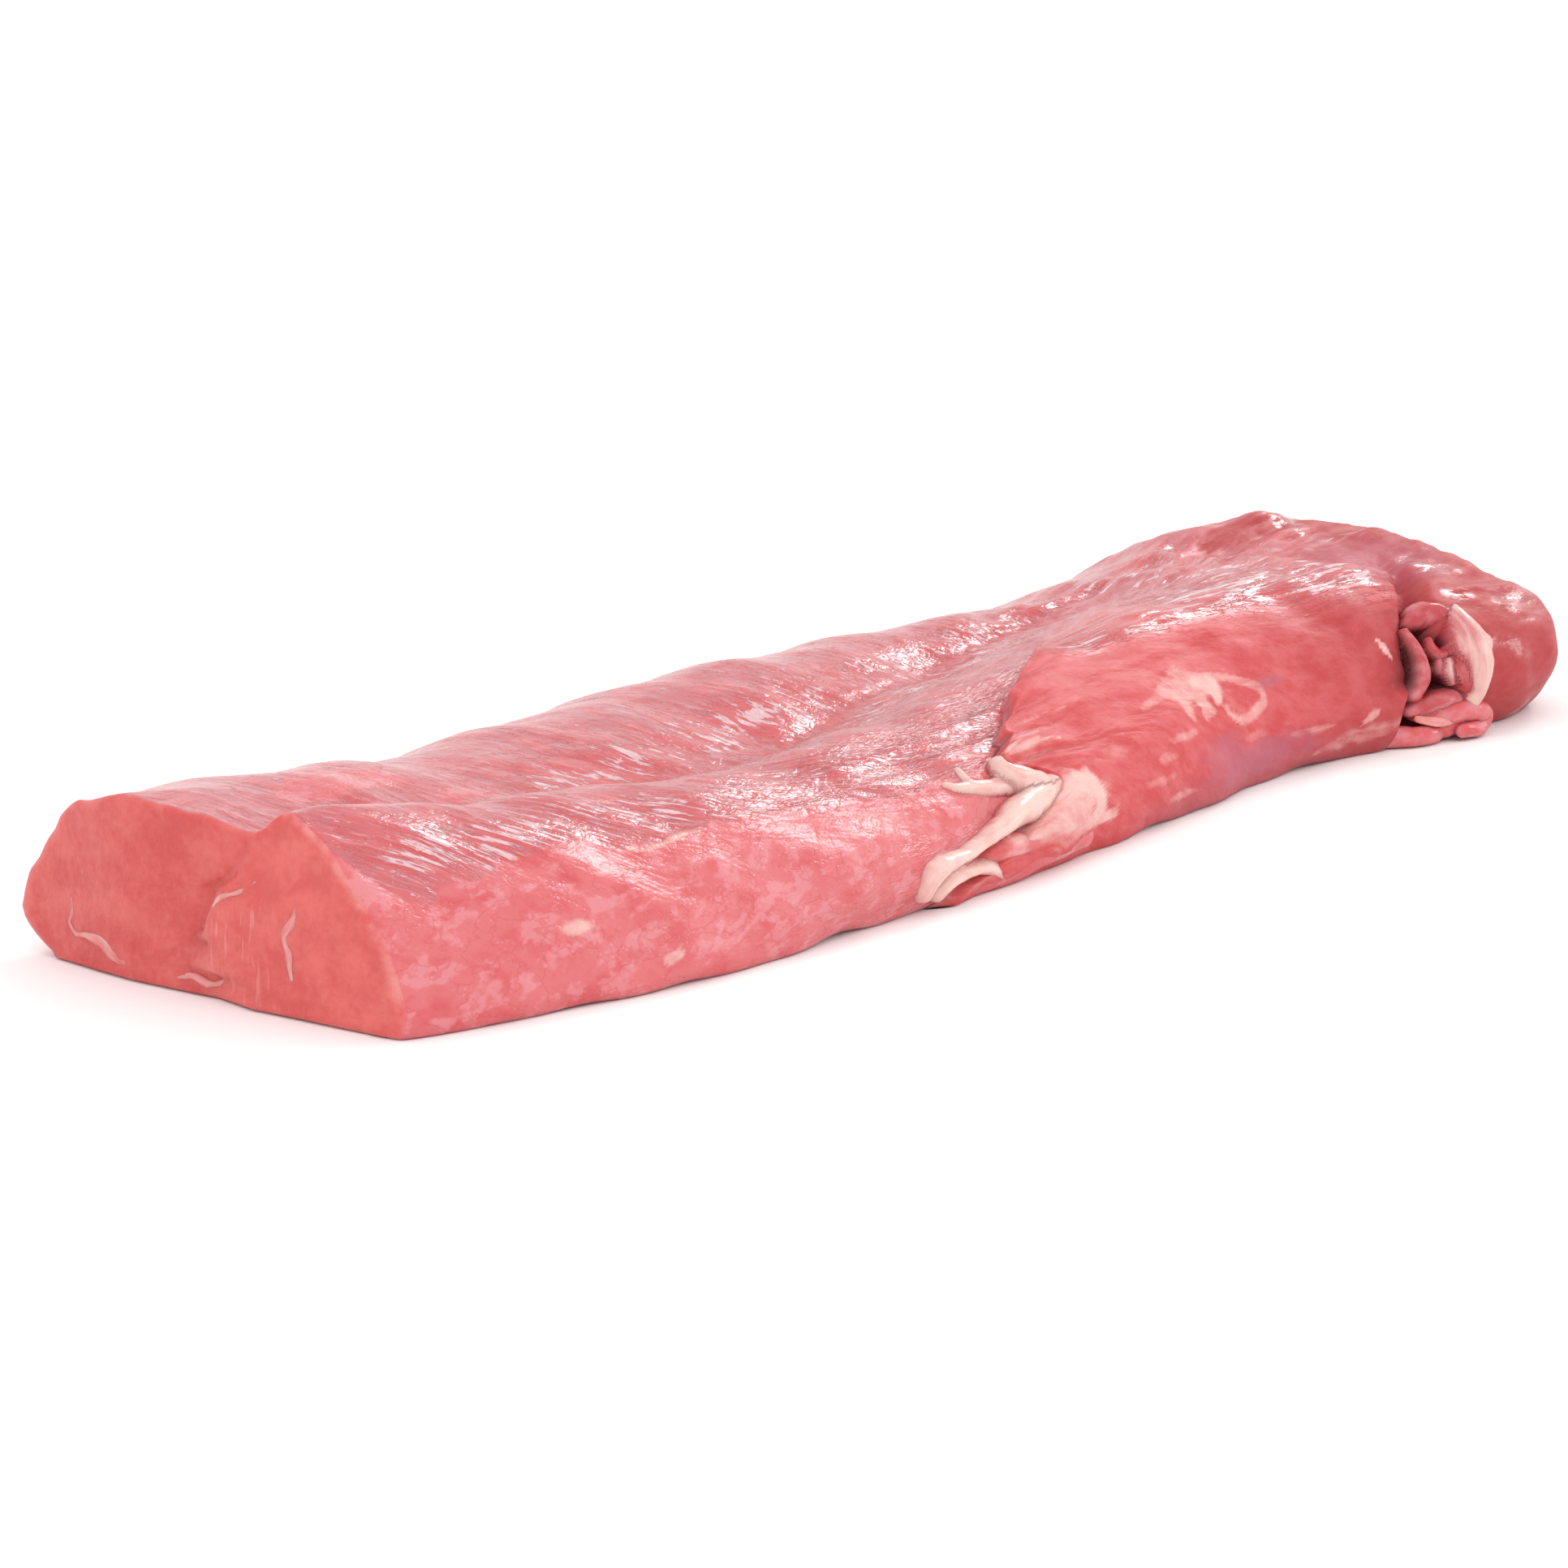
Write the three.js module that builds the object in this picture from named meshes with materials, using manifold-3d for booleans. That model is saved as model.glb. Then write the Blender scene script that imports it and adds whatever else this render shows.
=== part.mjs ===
// A raw veal loin fillet: one trimmed, boneless muscle, lying on its flat sole. One end is a clean
// cross cut with two humps, the other is a blunt tail with a deep cleft in its near side. A second
// sheet of muscle overlaps the near side from the middle on, and ragged straps of white fat hang
// from its edge. It is all one piece of meat, so it is one solid.
//
// Millimetres. +X runs from the cut to the tail, +Y from the near side to the far side, +Z is up.
import * as THREE from 'three';
import { mergeVertices } from 'three/addons/utils/BufferGeometryUtils.js';
import Module from 'manifold-3d';

const wasm = await Module();
wasm.setup();

// The fillet is 548 long, about 150 wide and 55 high. It rounds off over its last 36.
const LENGTH = 548;
const TAIL_START = 512;
const TAIL_BLUNTNESS = 0.62;
const TAIL_CROWDING = 1.5;
const TAIL_HEART = { y: 40, z: 20 };

// The outline across the meat, point by point: up the near side, over the top and down the far
// side. Each place is a list of [distance from the cut, value], with a smooth curve between them.
const NEAR_FOOT = {
  y: [[0, 1], [30, -8.5], [60, -16], [120, -22], [180, -19], [222, -16], [260, -13], [300, -13], [400, -4], [447, -9], [490, -13],
    [548, -8]],
  z: [[0, 0]],
};
const NEAR_BELLY = {
  y: [[0, 1], [40, -11], [90, -19], [140, -24], [220, -21], [300, -14], [400, -8], [450, -15], [500, -23], [548, -18]],
  z: [[0, 15], [300, 15], [450, 17], [548, 19]],
};
const NEAR_SHOULDER = {
  y: [[0, 13], [50, 0], [100, -9], [170, -12], [240, -7], [320, 0], [400, 2], [450, -6], [500, -14], [548, -12]],
  z: [[0, 31], [100, 29], [200, 28], [260, 31], [340, 35], [420, 36], [500, 35], [548, 33]],
};
const NEAR_RIDGE = {
  y: [[0, 37], [60, 24], [140, 12], [230, 15], [320, 26], [420, 22], [480, 12], [548, 10]],
  z: [[0, 50.5], [40, 46], [120, 40], [220, 40.5], [300, 45], [380, 49], [450, 50], [500, 46], [548, 40.5]],
};
const CREASE = {
  y: [[0, 50], [70, 47], [160, 36], [250, 46], [330, 60], [420, 58], [500, 52], [548, 46]],
  z: [[0, 43.5], [60, 40], [130, 36], [180, 35.5], [250, 40], [330, 42.5], [420, 50], [480, 53], [515, 52.6], [548, 45]],
};
const FAR_RIDGE = {
  y: [[0, 86], [150, 84], [300, 82], [420, 80], [500, 72], [548, 66]],
  z: [[0, 48], [60, 44.6], [110, 41], [170, 43.5], [240, 46], [320, 45], [350, 45], [385, 44.5], [410, 47.5], [440, 53.5],
    [480, 56], [516, 53], [548, 46]],
};
const FAR_SHOULDER = {
  y: [[0, 117], [150, 115], [300, 112], [450, 106], [548, 96]],
  z: [[0, 40.5], [100, 31], [200, 34], [300, 34], [390, 33], [450, 40], [500, 42], [548, 38]],
};
const FAR_BELLY = {
  y: [[0, 134], [100, 132], [250, 127], [400, 122], [500, 116], [548, 108]],
  z: [[0, 14], [100, 16], [548, 18]],
};
const FAR_FOOT = {
  y: [[0, 124], [60, 121], [250, 115], [400, 110], [548, 96]],
  z: [[0, 0]],
};

// Where the flat sole has its own outline points, as shares of the way from near foot to far foot.
const SOLE_SHARES = [0.85, 0.5, 0.15];

// Mesh steps around the meat, from each outline point to the next, and over its tail.
const STEPS_AROUND = [4, 6, 5, 5, 4, 3, 3, 3, 2, 2, 2, 2];
const TAIL_STEPS = 8;
const MERGE_DISTANCE = 1e-4;

// The sheet of muscle that overlaps the near side. Its front edge is given as [outline place,
// distance from the cut], where place 0 is the near foot, 1 the belly, 2 the shoulder, 3 the ridge.
const OVERLAP = {
  edge: [[0, 186], [0.3, 196], [0.6, 214], [1, 232], [1.4, 249], [1.6, 246], [1.85, 232], [2.05, 238], [2.3, 248], [2.6, 265],
    [3, 298], [3.6, 340], [5, 320], [8, 250], [12, 186]],
  thickness: 4.5,
  edgeWidth: 2.4,
  runOut: 150,
  fadeFrom: 2.45,
  fadeTo: 3.4,
};

// The cleft in the near side of the tail: its line, depth and half width by outline place.
const CLEFT = {
  line: [[0, 446], [0.5, 452], [0.9, 457], [1.3, 459], [1.7, 459], [2.1, 461], [2.5, 467], [3, 478], [3.6, 488], [5, 480],
    [8, 462], [12, 446]],
  depth: [[0, 7], [0.5, 15], [1, 22], [1.5, 21], [2, 16], [2.5, 9], [3, 4], [3.6, 0]],
  halfWidth: [[0, 6], [0.8, 7.5], [1.5, 7], [2.1, 5], [3, 5]],
  meshHalfWidth: 12,
};

// The meat is made this much too long, and the knife takes the extra off.
const BEFORE_CUT = 6;

// The mesh follows these lines along the meat, so that the overlap and the cleft come out crisp.
// Each line says how far along it runs at a place, and in how many steps the mesh reaches it.
const LINES = [
  { at: () => -BEFORE_CUT, steps: 0 },
  { at: () => 100, steps: 11 },
  { at: (place) => keyed(OVERLAP.edge, place) - OVERLAP.edgeWidth / 2, steps: 13 },
  { at: (place) => keyed(OVERLAP.edge, place) + OVERLAP.edgeWidth / 2, steps: 1 },
  { at: (place) => keyed(CLEFT.line, place) - CLEFT.meshHalfWidth, steps: 25 },
  { at: (place) => keyed(CLEFT.line, place), steps: 5 },
  { at: (place) => keyed(CLEFT.line, place) + CLEFT.meshHalfWidth, steps: 5 },
  { at: () => TAIL_START, steps: 5 },
];

// The groove along the crease is narrow, and cut into the wide hollow between the two humps.
const GROOVE = { place: 4, halfWidth: 0.35, depth: 2.2, from: 10, to: 420 };

// The cut face isn't quite flat: a lobe of the near muscle stands proud of the rest, with a rounded
// edge that is given by height, and the far side falls back a little.
const CUT = {
  proud: 3.4,
  lobeEdge: [[0, 54], [9, 62], [17.5, 65], [26, 61], [34, 54], [44, 48]],
  edgeBefore: 3.2,
  edgeAfter: 1.6,
  lobeFrom: 44,
  lobeFull: 23,
  fallBack: 6,
  fallFrom: 85,
  fallTo: 133,
};
const KNIFE = { from: { y: -30, z: -10 }, to: { y: 190, z: 60 }, step: 3.5, thickness: 40 };

// A raw surface is never quite even: broad, low waves run over it, of lengths that don't match.
const WAVES = [
  { height: 0.6, along: 83, around: 1.9 },
  { height: 0.45, along: 53, around: -2.7 },
  { height: 0.3, along: 31, around: 3.4 },
];

// A smooth curve through [place, value] pairs, flat beyond its ends.
function keyed(pairs, place) {
  if (pairs.length === 1 || place <= pairs[0][0]) return pairs[0][1];
  const last = pairs.length - 1;
  if (place >= pairs[last][0]) return pairs[last][1];
  let i = 0;
  while (place > pairs[i + 1][0]) i += 1;
  const gap = (k) => pairs[k + 1][0] - pairs[k][0];
  const slope = (k) => (pairs[k + 1][1] - pairs[k][1]) / gap(k);
  const tangent = (k) => {
    if (k === 0) return slope(0);
    if (k === last) return slope(last - 1);
    return (slope(k - 1) * gap(k) + slope(k) * gap(k - 1)) / (gap(k - 1) + gap(k));
  };
  const h = gap(i);
  const t = (place - pairs[i][0]) / h;
  return pairs[i][1] * (1 + 2 * t) * (1 - t) ** 2 + tangent(i) * h * t * (1 - t) ** 2
    + pairs[i + 1][1] * t * t * (3 - 2 * t) + tangent(i + 1) * h * t * t * (t - 1);
}

const bell = (distance, halfWidth) => Math.exp(-((distance / halfWidth) ** 2));
const { smoothstep } = THREE.MathUtils;

// The smooth outline across the meat, as a closed curve through its named points.
function outlineAt(x) {
  const named = [NEAR_FOOT, NEAR_BELLY, NEAR_SHOULDER, NEAR_RIDGE, CREASE, FAR_RIDGE, FAR_SHOULDER, FAR_BELLY, FAR_FOOT];
  const points = named.map((point) => new THREE.Vector3(x, keyed(point.y, x), keyed(point.z, x)));
  const near = points[0].y;
  const far = points[points.length - 1].y;
  for (const share of SOLE_SHARES) points.push(new THREE.Vector3(x, near + (far - near) * share, 0));
  return new THREE.CatmullRomCurve3(points, true, 'catmullrom', 0.5);
}

// How far the surface stands out from the smooth outline, at a distance from the cut and a place
// around the outline.
function relief(x, place) {
  const edge = keyed(OVERLAP.edge, place);
  const behind = smoothstep(x, edge - OVERLAP.edgeWidth / 2, edge + OVERLAP.edgeWidth / 2);
  const runsOut = 1 - smoothstep(x, edge + OVERLAP.edgeWidth, edge + OVERLAP.runOut);
  const onNearSide = 1 - smoothstep(place, OVERLAP.fadeFrom, OVERLAP.fadeTo);
  const overlap = place < OVERLAP.fadeTo ? OVERLAP.thickness * behind * runsOut * onNearSide : 0;

  const offCleft = (x - keyed(CLEFT.line, place)) / keyed(CLEFT.halfWidth, place);
  const cleft = place < 4 ? keyed(CLEFT.depth, place) * bell(offCleft, 1) : 0;

  const grooveRuns = smoothstep(x, 0, GROOVE.from) * (1 - smoothstep(x, GROOVE.to - 60, GROOVE.to));
  const groove = GROOVE.depth * bell(place - GROOVE.place, GROOVE.halfWidth) * grooveRuns;

  let waves = 0;
  for (const { height, along, around } of WAVES) waves += height * Math.sin((2 * Math.PI * x) / along + around * place);
  return overlap - cleft - groove + waves;
}

// How far the cut face stands back from the plane at x = 0.
function cutRelief(y, z) {
  const edge = keyed(CUT.lobeEdge, z);
  const beforeEdge = 1 - smoothstep(y, edge - CUT.edgeBefore, edge + CUT.edgeAfter);
  const lobe = beforeEdge * (1 - smoothstep(z, CUT.lobeFull, CUT.lobeFrom));
  return CUT.proud * (1 - lobe) + CUT.fallBack * smoothstep(y, CUT.fallFrom, CUT.fallTo);
}

// A point at an outline place, lifted off the smooth outline, and the direction out of the meat.
function offOutline(x, place, lift) {
  const outline = outlineAt(x);
  const share = place / STEPS_AROUND.length;
  const tangent = outline.getTangent(share);
  const out = new THREE.Vector3(0, -tangent.z, tangent.y);
  const at = outline.getPoint(share).addScaledVector(out, lift);
  at.z = Math.max(at.z, 0);
  return { at, out };
}

// One ring of points around the meat. Its distance from the cut is given for each outline place.
function ringAlong(distance) {
  const sole = STEPS_AROUND.length - SOLE_SHARES.length - 1;
  const ring = [];
  STEPS_AROUND.forEach((steps, span) => {
    for (let step = 0; step < steps; step += 1) {
      const place = span + step / steps;
      const x = distance(place);
      ring.push(offOutline(x, place, span < sole ? relief(x, place) : 0).at);
    }
  });
  return ring;
}

// A ring drawn in towards a heart point, keeping the share of its size that is given.
function drawnIn(ring, heart, share, x) {
  return ring.map((p) => new THREE.Vector3(x, heart.y + (p.y - heart.y) * share, heart.z + (p.z - heart.z) * share));
}

// All the rings of the meat, from the tip of the tail to just before the cut.
function meatRings() {
  const rings = [drawnIn(ringAlong(() => LENGTH), TAIL_HEART, 0, LENGTH)];
  for (let step = TAIL_STEPS - 1; step > 0; step -= 1) {
    const turn = (1 - (1 - step / TAIL_STEPS) ** TAIL_CROWDING) * (Math.PI / 2);
    const x = TAIL_START + (LENGTH - TAIL_START) * Math.sin(turn);
    rings.push(drawnIn(ringAlong(() => x), TAIL_HEART, Math.cos(turn) ** TAIL_BLUNTNESS, x));
  }
  for (let line = LINES.length - 1; line > 0; line -= 1) {
    const { at, steps } = LINES[line];
    const before = LINES[line - 1].at;
    for (let step = 0; step < steps; step += 1) {
      rings.push(ringAlong((place) => THREE.MathUtils.lerp(at(place), before(place), step / steps)));
    }
  }
  const first = ringAlong(LINES[0].at);
  rings.push(first, drawnIn(first, TAIL_HEART, 0, -BEFORE_CUT));
  return rings;
}

// The knife: a slab whose one face has the relief of the cut. It is a row of closed rings too, each
// going once around the slab at its own height, and it leans with the edge of the lobe.
function knifeSolid() {
  const { from, to, step, thickness } = KNIFE;
  const rings = [];
  for (let z = to.z; z >= from.z; z -= step) {
    const lean = keyed(CUT.lobeEdge, z) - keyed(CUT.lobeEdge, 0);
    const ring = [];
    for (let y = from.y; y <= to.y; y += step) ring.push(new THREE.Vector3(-thickness, y + lean, z));
    for (let y = to.y; y >= from.y; y -= step) ring.push(new THREE.Vector3(cutRelief(y + lean, z), y + lean, z));
    rings.push(ring);
  }
  const middle = { x: -thickness / 2, y: (from.y + to.y) / 2 };
  const flatEnd = (ring) => ring.map((p) => new THREE.Vector3(middle.x, middle.y, p.z));
  return solidFrom([flatEnd(rings[0]), ...rings, flatEnd(rings[rings.length - 1])]);
}

// A closed solid from rings of points whose first and last ring are each drawn in to one point.
// Each four-sided patch is split along its shorter diagonal, so that slanting patches stay smooth,
// and the triangles that an end point leaves without any area are dropped.
function solidFrom(rings) {
  const columns = rings[0].length;
  const triangles = [];
  for (let row = 0; row + 1 < rings.length; row += 1) {
    for (let column = 0; column < columns; column += 1) {
      const a = rings[row][column];
      const b = rings[row][(column + 1) % columns];
      const c = rings[row + 1][(column + 1) % columns];
      const d = rings[row + 1][column];
      if (a.distanceTo(c) < b.distanceTo(d)) triangles.push(a, b, c, a, c, d);
      else triangles.push(a, b, d, b, c, d);
    }
  }
  const merged = mergeVertices(new THREE.BufferGeometry().setFromPoints(triangles), MERGE_DISTANCE);
  const corners = merged.index.array;
  const triVerts = [];
  for (let i = 0; i < corners.length; i += 3) {
    const [a, b, c] = corners.slice(i, i + 3);
    if (a !== b && b !== c && c !== a) triVerts.push(a, b, c);
  }
  return new wasm.Manifold(new wasm.Mesh({
    numProp: 3,
    vertProperties: merged.attributes.position.array,
    triVerts: new Uint32Array(triVerts),
  }));
}

function geometryFrom(solid) {
  const { vertProperties, triVerts } = solid.getMesh();
  const geometry = new THREE.BufferGeometry();
  geometry.setAttribute('position', new THREE.BufferAttribute(new Float32Array(vertProperties), 3));
  geometry.setIndex(new THREE.BufferAttribute(new Uint32Array(triVerts), 1));
  geometry.computeVertexNormals();
  return geometry;
}

// Straps of fat and shreds of meat that stand off the surface. Each follows a few points of its
// crest, given as [distance from the cut, outline place, lift off the smooth outline]. Its breadth
// and thickness are those of its widest place, and it is pointed at both ends.
const STRAP_SIDES = 8;
const STRAP_STEPS = 12;
const STRAP_TAPER = 0.55;
const STRAP_NUDGE = 0.01;
const STRAPS = [
  { name: 'main fat strap', breadth: 7, thickness: 10,
    line: [[179, 0.5, 4], [185, 0.79, 4.4], [199, 0.88, 4.2], [211, 1.04, 5.2], [225, 1.2, 6], [240, 1.35, 5.4],
      [247, 1.41, 2.6]] },
  { name: 'fan at the end of the strap', breadth: 18, thickness: 7,
    line: [[218, 1, 4.8], [230, 1.04, 5.6], [241, 1.06, 5.8], [255, 1.04, 5.6], [272, 0.98, 4.8]] },
  { name: 'lower fat strand', breadth: 5, thickness: 9,
    line: [[185, 0.38, 3.4], [190.6, 0.59, 4.3], [200.7, 0.62, 4.2], [212, 0.52, 4.2], [218, 0.37, 3.4]] },
  { name: 'rolled tip of the overlap', breadth: 7.5, thickness: 9,
    line: [[232, 1.95, 4.6], [230, 1.81, 6.2], [234.6, 1.62, 6.8], [243.6, 1.47, 5.8], [254, 1.4, 5]] },
  { name: 'flap over the near muscle', breadth: 7, thickness: 8,
    line: [[247, 1.46, 4], [230, 1.62, 3.2], [219, 1.75, 2.3], [210, 1.88, 1.8], [207.5, 2, 1]] },
  { name: 'upper tip of the flap', breadth: 4, thickness: 6,
    line: [[216.3, 2.1, 1.6], [216, 1.96, 2.3], [218.5, 1.77, 2.3], [226, 1.66, 2.2]] },
  { name: 'torn flap beside the cleft', breadth: 14, thickness: 8,
    line: [[477.5, 2.17, 0.8], [473, 1.83, 3.9], [473.2, 1.43, 5.4], [472.4, 1.14, 5.4], [470, 0.82, 4.8], [468, 0.68, 4.2]] },
  { name: 'inner fold of the flap', breadth: 6, thickness: 8,
    line: [[475.8, 2.03, -0.5], [471.4, 1.78, 0.4], [468.6, 1.56, 1], [467.6, 1.35, 1.2], [468.1, 1.12, 1.4],
      [469.7, 0.91, 1.4]] },
  { name: 'lobe above the cleft', breadth: 9, thickness: 10,
    line: [[459, 2.08, -2], [464, 2.15, 0.2], [470.7, 2.12, 1.6], [475, 2, 0.4]] },
  { name: 'low fold in the cleft', breadth: 9, thickness: 12,
    line: [[446, 0.6, -1.8], [452.5, 0.71, 0.2], [458, 0.81, 1.4], [468, 0.81, 2.2]] },
  { name: 'curled lip under the cleft', breadth: 9, thickness: 10,
    line: [[487, 0.35, 0], [477, 0.45, 4], [467, 0.55, 4.2], [459, 0.46, 3], [449, 0.5, 0]] },
  { name: 'shred at the foot of the cleft', breadth: 6, thickness: 10,
    line: [[422, 0.2, 1], [438, 0.25, 3], [447, 0.3, 4.2], [455, 0.31, 4.6], [465, 0.24, 3]] },
];

function strapSolid({ line, breadth, thickness }) {
  const path = new THREE.CatmullRomCurve3(line.map((p) => new THREE.Vector3(...p)));
  const middleAt = (along) => {
    const { x, y: place, z: lift } = path.getPoint(THREE.MathUtils.clamp(along, 0, 1));
    return offOutline(x, place, lift - thickness / 2);
  };
  const rings = [];
  for (let step = 0; step <= STRAP_STEPS; step += 1) {
    const along = step / STRAP_STEPS;
    const { at: middle, out } = middleAt(along);
    const ahead = middleAt(along + STRAP_NUDGE).at.sub(middleAt(along - STRAP_NUDGE).at).normalize();
    const across = new THREE.Vector3().crossVectors(ahead, out).normalize();
    const up = new THREE.Vector3().crossVectors(across, ahead);
    const size = Math.sin(Math.PI * along) ** STRAP_TAPER;
    const ring = [];
    for (let side = 0; side < STRAP_SIDES; side += 1) {
      const turn = (-2 * Math.PI * side) / STRAP_SIDES;
      const point = middle.clone()
        .addScaledVector(across, (Math.cos(turn) * breadth * size) / 2)
        .addScaledVector(up, (Math.sin(turn) * thickness * size) / 2);
      point.z = Math.max(point.z, 0);
      ring.push(point);
    }
    rings.push(ring);
  }
  return solidFrom(rings);
}

// The meat and its straps as one solid, set with its flat sole on z = 0 and the middle of its
// box at the origin.
function filletGeometry() {
  let fillet = solidFrom(meatRings());
  for (const strap of STRAPS) fillet = fillet.add(strapSolid(strap));
  fillet = fillet.subtract(knifeSolid());
  const { min, max } = fillet.boundingBox();
  return geometryFrom(fillet).translate(-(min[0] + max[0]) / 2, -(min[1] + max[1]) / 2, -min[2]);
}

const meat = new THREE.MeshStandardMaterial({ color: new THREE.Color(0.79, 0.33, 0.34), roughness: 0.42, metalness: 0 });
const fillet = new THREE.Mesh(filletGeometry(), meat);
fillet.name = 'veal_loin_fillet';

const group = new THREE.Group();
group.add(fillet);

export default group;
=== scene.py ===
# %% [markdown]
# # A raw veal loin fillet
#
# This lesson dresses one long, trimmed loin of veal that lies on its flat sole. The near end is a
# clean cross cut, a silvery film covers most of the top, and a second sheet of muscle overlaps the
# near side from the middle on, with creamy straps of fat along its edge. The tail is rounded, with
# a deep cleft in its near side.
#
# The solid form of the part is already packed, and it stays as the frame. The real meat could be
# sculpted by hand, but here each form comes from named values and a few formulas, so that every
# bump can be moved again later. Distances in the formulas are millimetres.

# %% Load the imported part
import bpy
import numpy as np
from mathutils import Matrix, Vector


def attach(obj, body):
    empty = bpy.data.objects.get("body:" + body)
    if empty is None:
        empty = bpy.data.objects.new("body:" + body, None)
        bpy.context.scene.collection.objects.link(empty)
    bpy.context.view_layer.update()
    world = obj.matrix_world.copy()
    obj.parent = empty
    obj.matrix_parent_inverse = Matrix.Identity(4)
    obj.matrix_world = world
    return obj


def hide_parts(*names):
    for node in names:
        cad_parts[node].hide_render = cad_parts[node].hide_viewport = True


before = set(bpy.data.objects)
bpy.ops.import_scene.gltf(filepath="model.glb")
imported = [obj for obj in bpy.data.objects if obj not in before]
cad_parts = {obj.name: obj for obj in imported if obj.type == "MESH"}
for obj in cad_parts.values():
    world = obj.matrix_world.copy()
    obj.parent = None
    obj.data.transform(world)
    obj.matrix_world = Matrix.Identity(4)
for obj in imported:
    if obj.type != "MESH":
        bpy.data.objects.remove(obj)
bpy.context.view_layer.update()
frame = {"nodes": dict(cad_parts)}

print("packed nodes:", ", ".join(frame["nodes"]))

# %% [markdown]
# ## Two small helpers
#
# Nearly everything on this meat changes smoothly along its length. A list of pairs, each a place
# and the value there, with a smooth curve between them, says that in one line. A second helper
# turns a step into a soft slope.

# %% Curves through pairs of numbers
def keyed(pairs, place):
    """A smooth curve through pairs of place and value, flat beyond its ends."""
    at, value = np.array(pairs, float).T
    gap = np.diff(at)
    slope = np.diff(value) / gap
    inner = (slope[:-1] * gap[1:] + slope[1:] * gap[:-1]) / (gap[:-1] + gap[1:])
    tangent = np.concatenate([slope[:1], inner, slope[-1:]])
    place = np.clip(np.asarray(place, float), at[0], at[-1])
    i = np.clip(np.searchsorted(at, place, side="right") - 1, 0, len(gap) - 1)
    h = gap[i]
    t = (place - at[i]) / h
    start = value[i] * (1 + 2 * t) * (1 - t) ** 2 + tangent[i] * h * t * (1 - t) ** 2
    end = value[i + 1] * t * t * (3 - 2 * t) + tangent[i + 1] * h * t * t * (t - 1)
    return start + end


def soft_step(value, low, high):
    """0 below low, 1 above high, and a smooth slope between them."""
    t = np.clip((value - low) / (high - low), 0, 1)
    return t * t * (3 - 2 * t)


print("half way up a soft step:", soft_step(0.5, 0, 1))

# %% [markdown]
# ## The outline across the meat
#
# A butcher would describe the shape by its slices. Each slice is a closed curve through nine named
# points, from the near foot up the near side, over the top and down to the far foot, and three more
# points lie along the flat sole. A place on the outline is a number: 0 is the near foot, 1 the
# belly, 2 the shoulder, 3 the ridge, 4 the crease between the two humps, and so on to 8, the far
# foot. These are the values that the solid part was made from, so the two agree.

# %% Named points of the outline
LENGTH = 548
TAIL_START = 512
TAIL_BLUNTNESS = 0.62
TAIL_HEART = (40, 20)
MIDDLE = (274, 54.09)

NEAR_FOOT = {
    "y": [(0, 1), (30, -8.5), (60, -16), (120, -22), (180, -19), (222, -16), (260, -13), (300, -13),
          (400, -4), (447, -9), (490, -13), (548, -8)],
    "z": [(0, 0), (548, 0)],
}
NEAR_BELLY = {
    "y": [(0, 1), (40, -11), (90, -19), (140, -24), (220, -21), (300, -14), (400, -8), (450, -15),
          (500, -23), (548, -18)],
    "z": [(0, 15), (300, 15), (450, 17), (548, 19)],
}
NEAR_SHOULDER = {
    "y": [(0, 13), (50, 0), (100, -9), (170, -12), (240, -7), (320, 0), (400, 2), (450, -6),
          (500, -14), (548, -12)],
    "z": [(0, 31), (100, 29), (200, 28), (260, 31), (340, 35), (420, 36), (500, 35), (548, 33)],
}
NEAR_RIDGE = {
    "y": [(0, 37), (60, 24), (140, 12), (230, 15), (320, 26), (420, 22), (480, 12), (548, 10)],
    "z": [(0, 50.5), (40, 46), (120, 40), (220, 40.5), (300, 45), (380, 49), (450, 50), (500, 46),
          (548, 40.5)],
}
CREASE = {
    "y": [(0, 50), (70, 47), (160, 36), (250, 46), (330, 60), (420, 58), (500, 52), (548, 46)],
    "z": [(0, 43.5), (60, 40), (130, 36), (180, 35.5), (250, 40), (330, 42.5), (420, 50), (480, 53),
          (515, 52.6), (548, 45)],
}
FAR_RIDGE = {
    "y": [(0, 86), (150, 84), (300, 82), (420, 80), (500, 72), (548, 66)],
    "z": [(0, 48), (60, 44.6), (110, 41), (170, 43.5), (240, 46), (320, 45), (350, 45),
          (385, 44.5), (410, 47.5), (440, 53.5), (480, 56), (516, 53), (548, 46)],
}
FAR_SHOULDER = {
    "y": [(0, 117), (150, 115), (300, 112), (450, 106), (548, 96)],
    "z": [(0, 40.5), (100, 31), (200, 34), (300, 34), (390, 33), (450, 40), (500, 42), (548, 38)],
}
FAR_BELLY = {
    "y": [(0, 134), (100, 132), (250, 127), (400, 122), (500, 116), (548, 108)],
    "z": [(0, 14), (100, 16), (548, 18)],
}
FAR_FOOT = {
    "y": [(0, 124), (60, 121), (250, 115), (400, 110), (548, 96)],
    "z": [(0, 0), (548, 0)],
}
SLICE = [NEAR_FOOT, NEAR_BELLY, NEAR_SHOULDER, NEAR_RIDGE, CREASE, FAR_RIDGE, FAR_SHOULDER,
         FAR_BELLY, FAR_FOOT]
SOLE_SHARES = (0.85, 0.5, 0.15)


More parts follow.
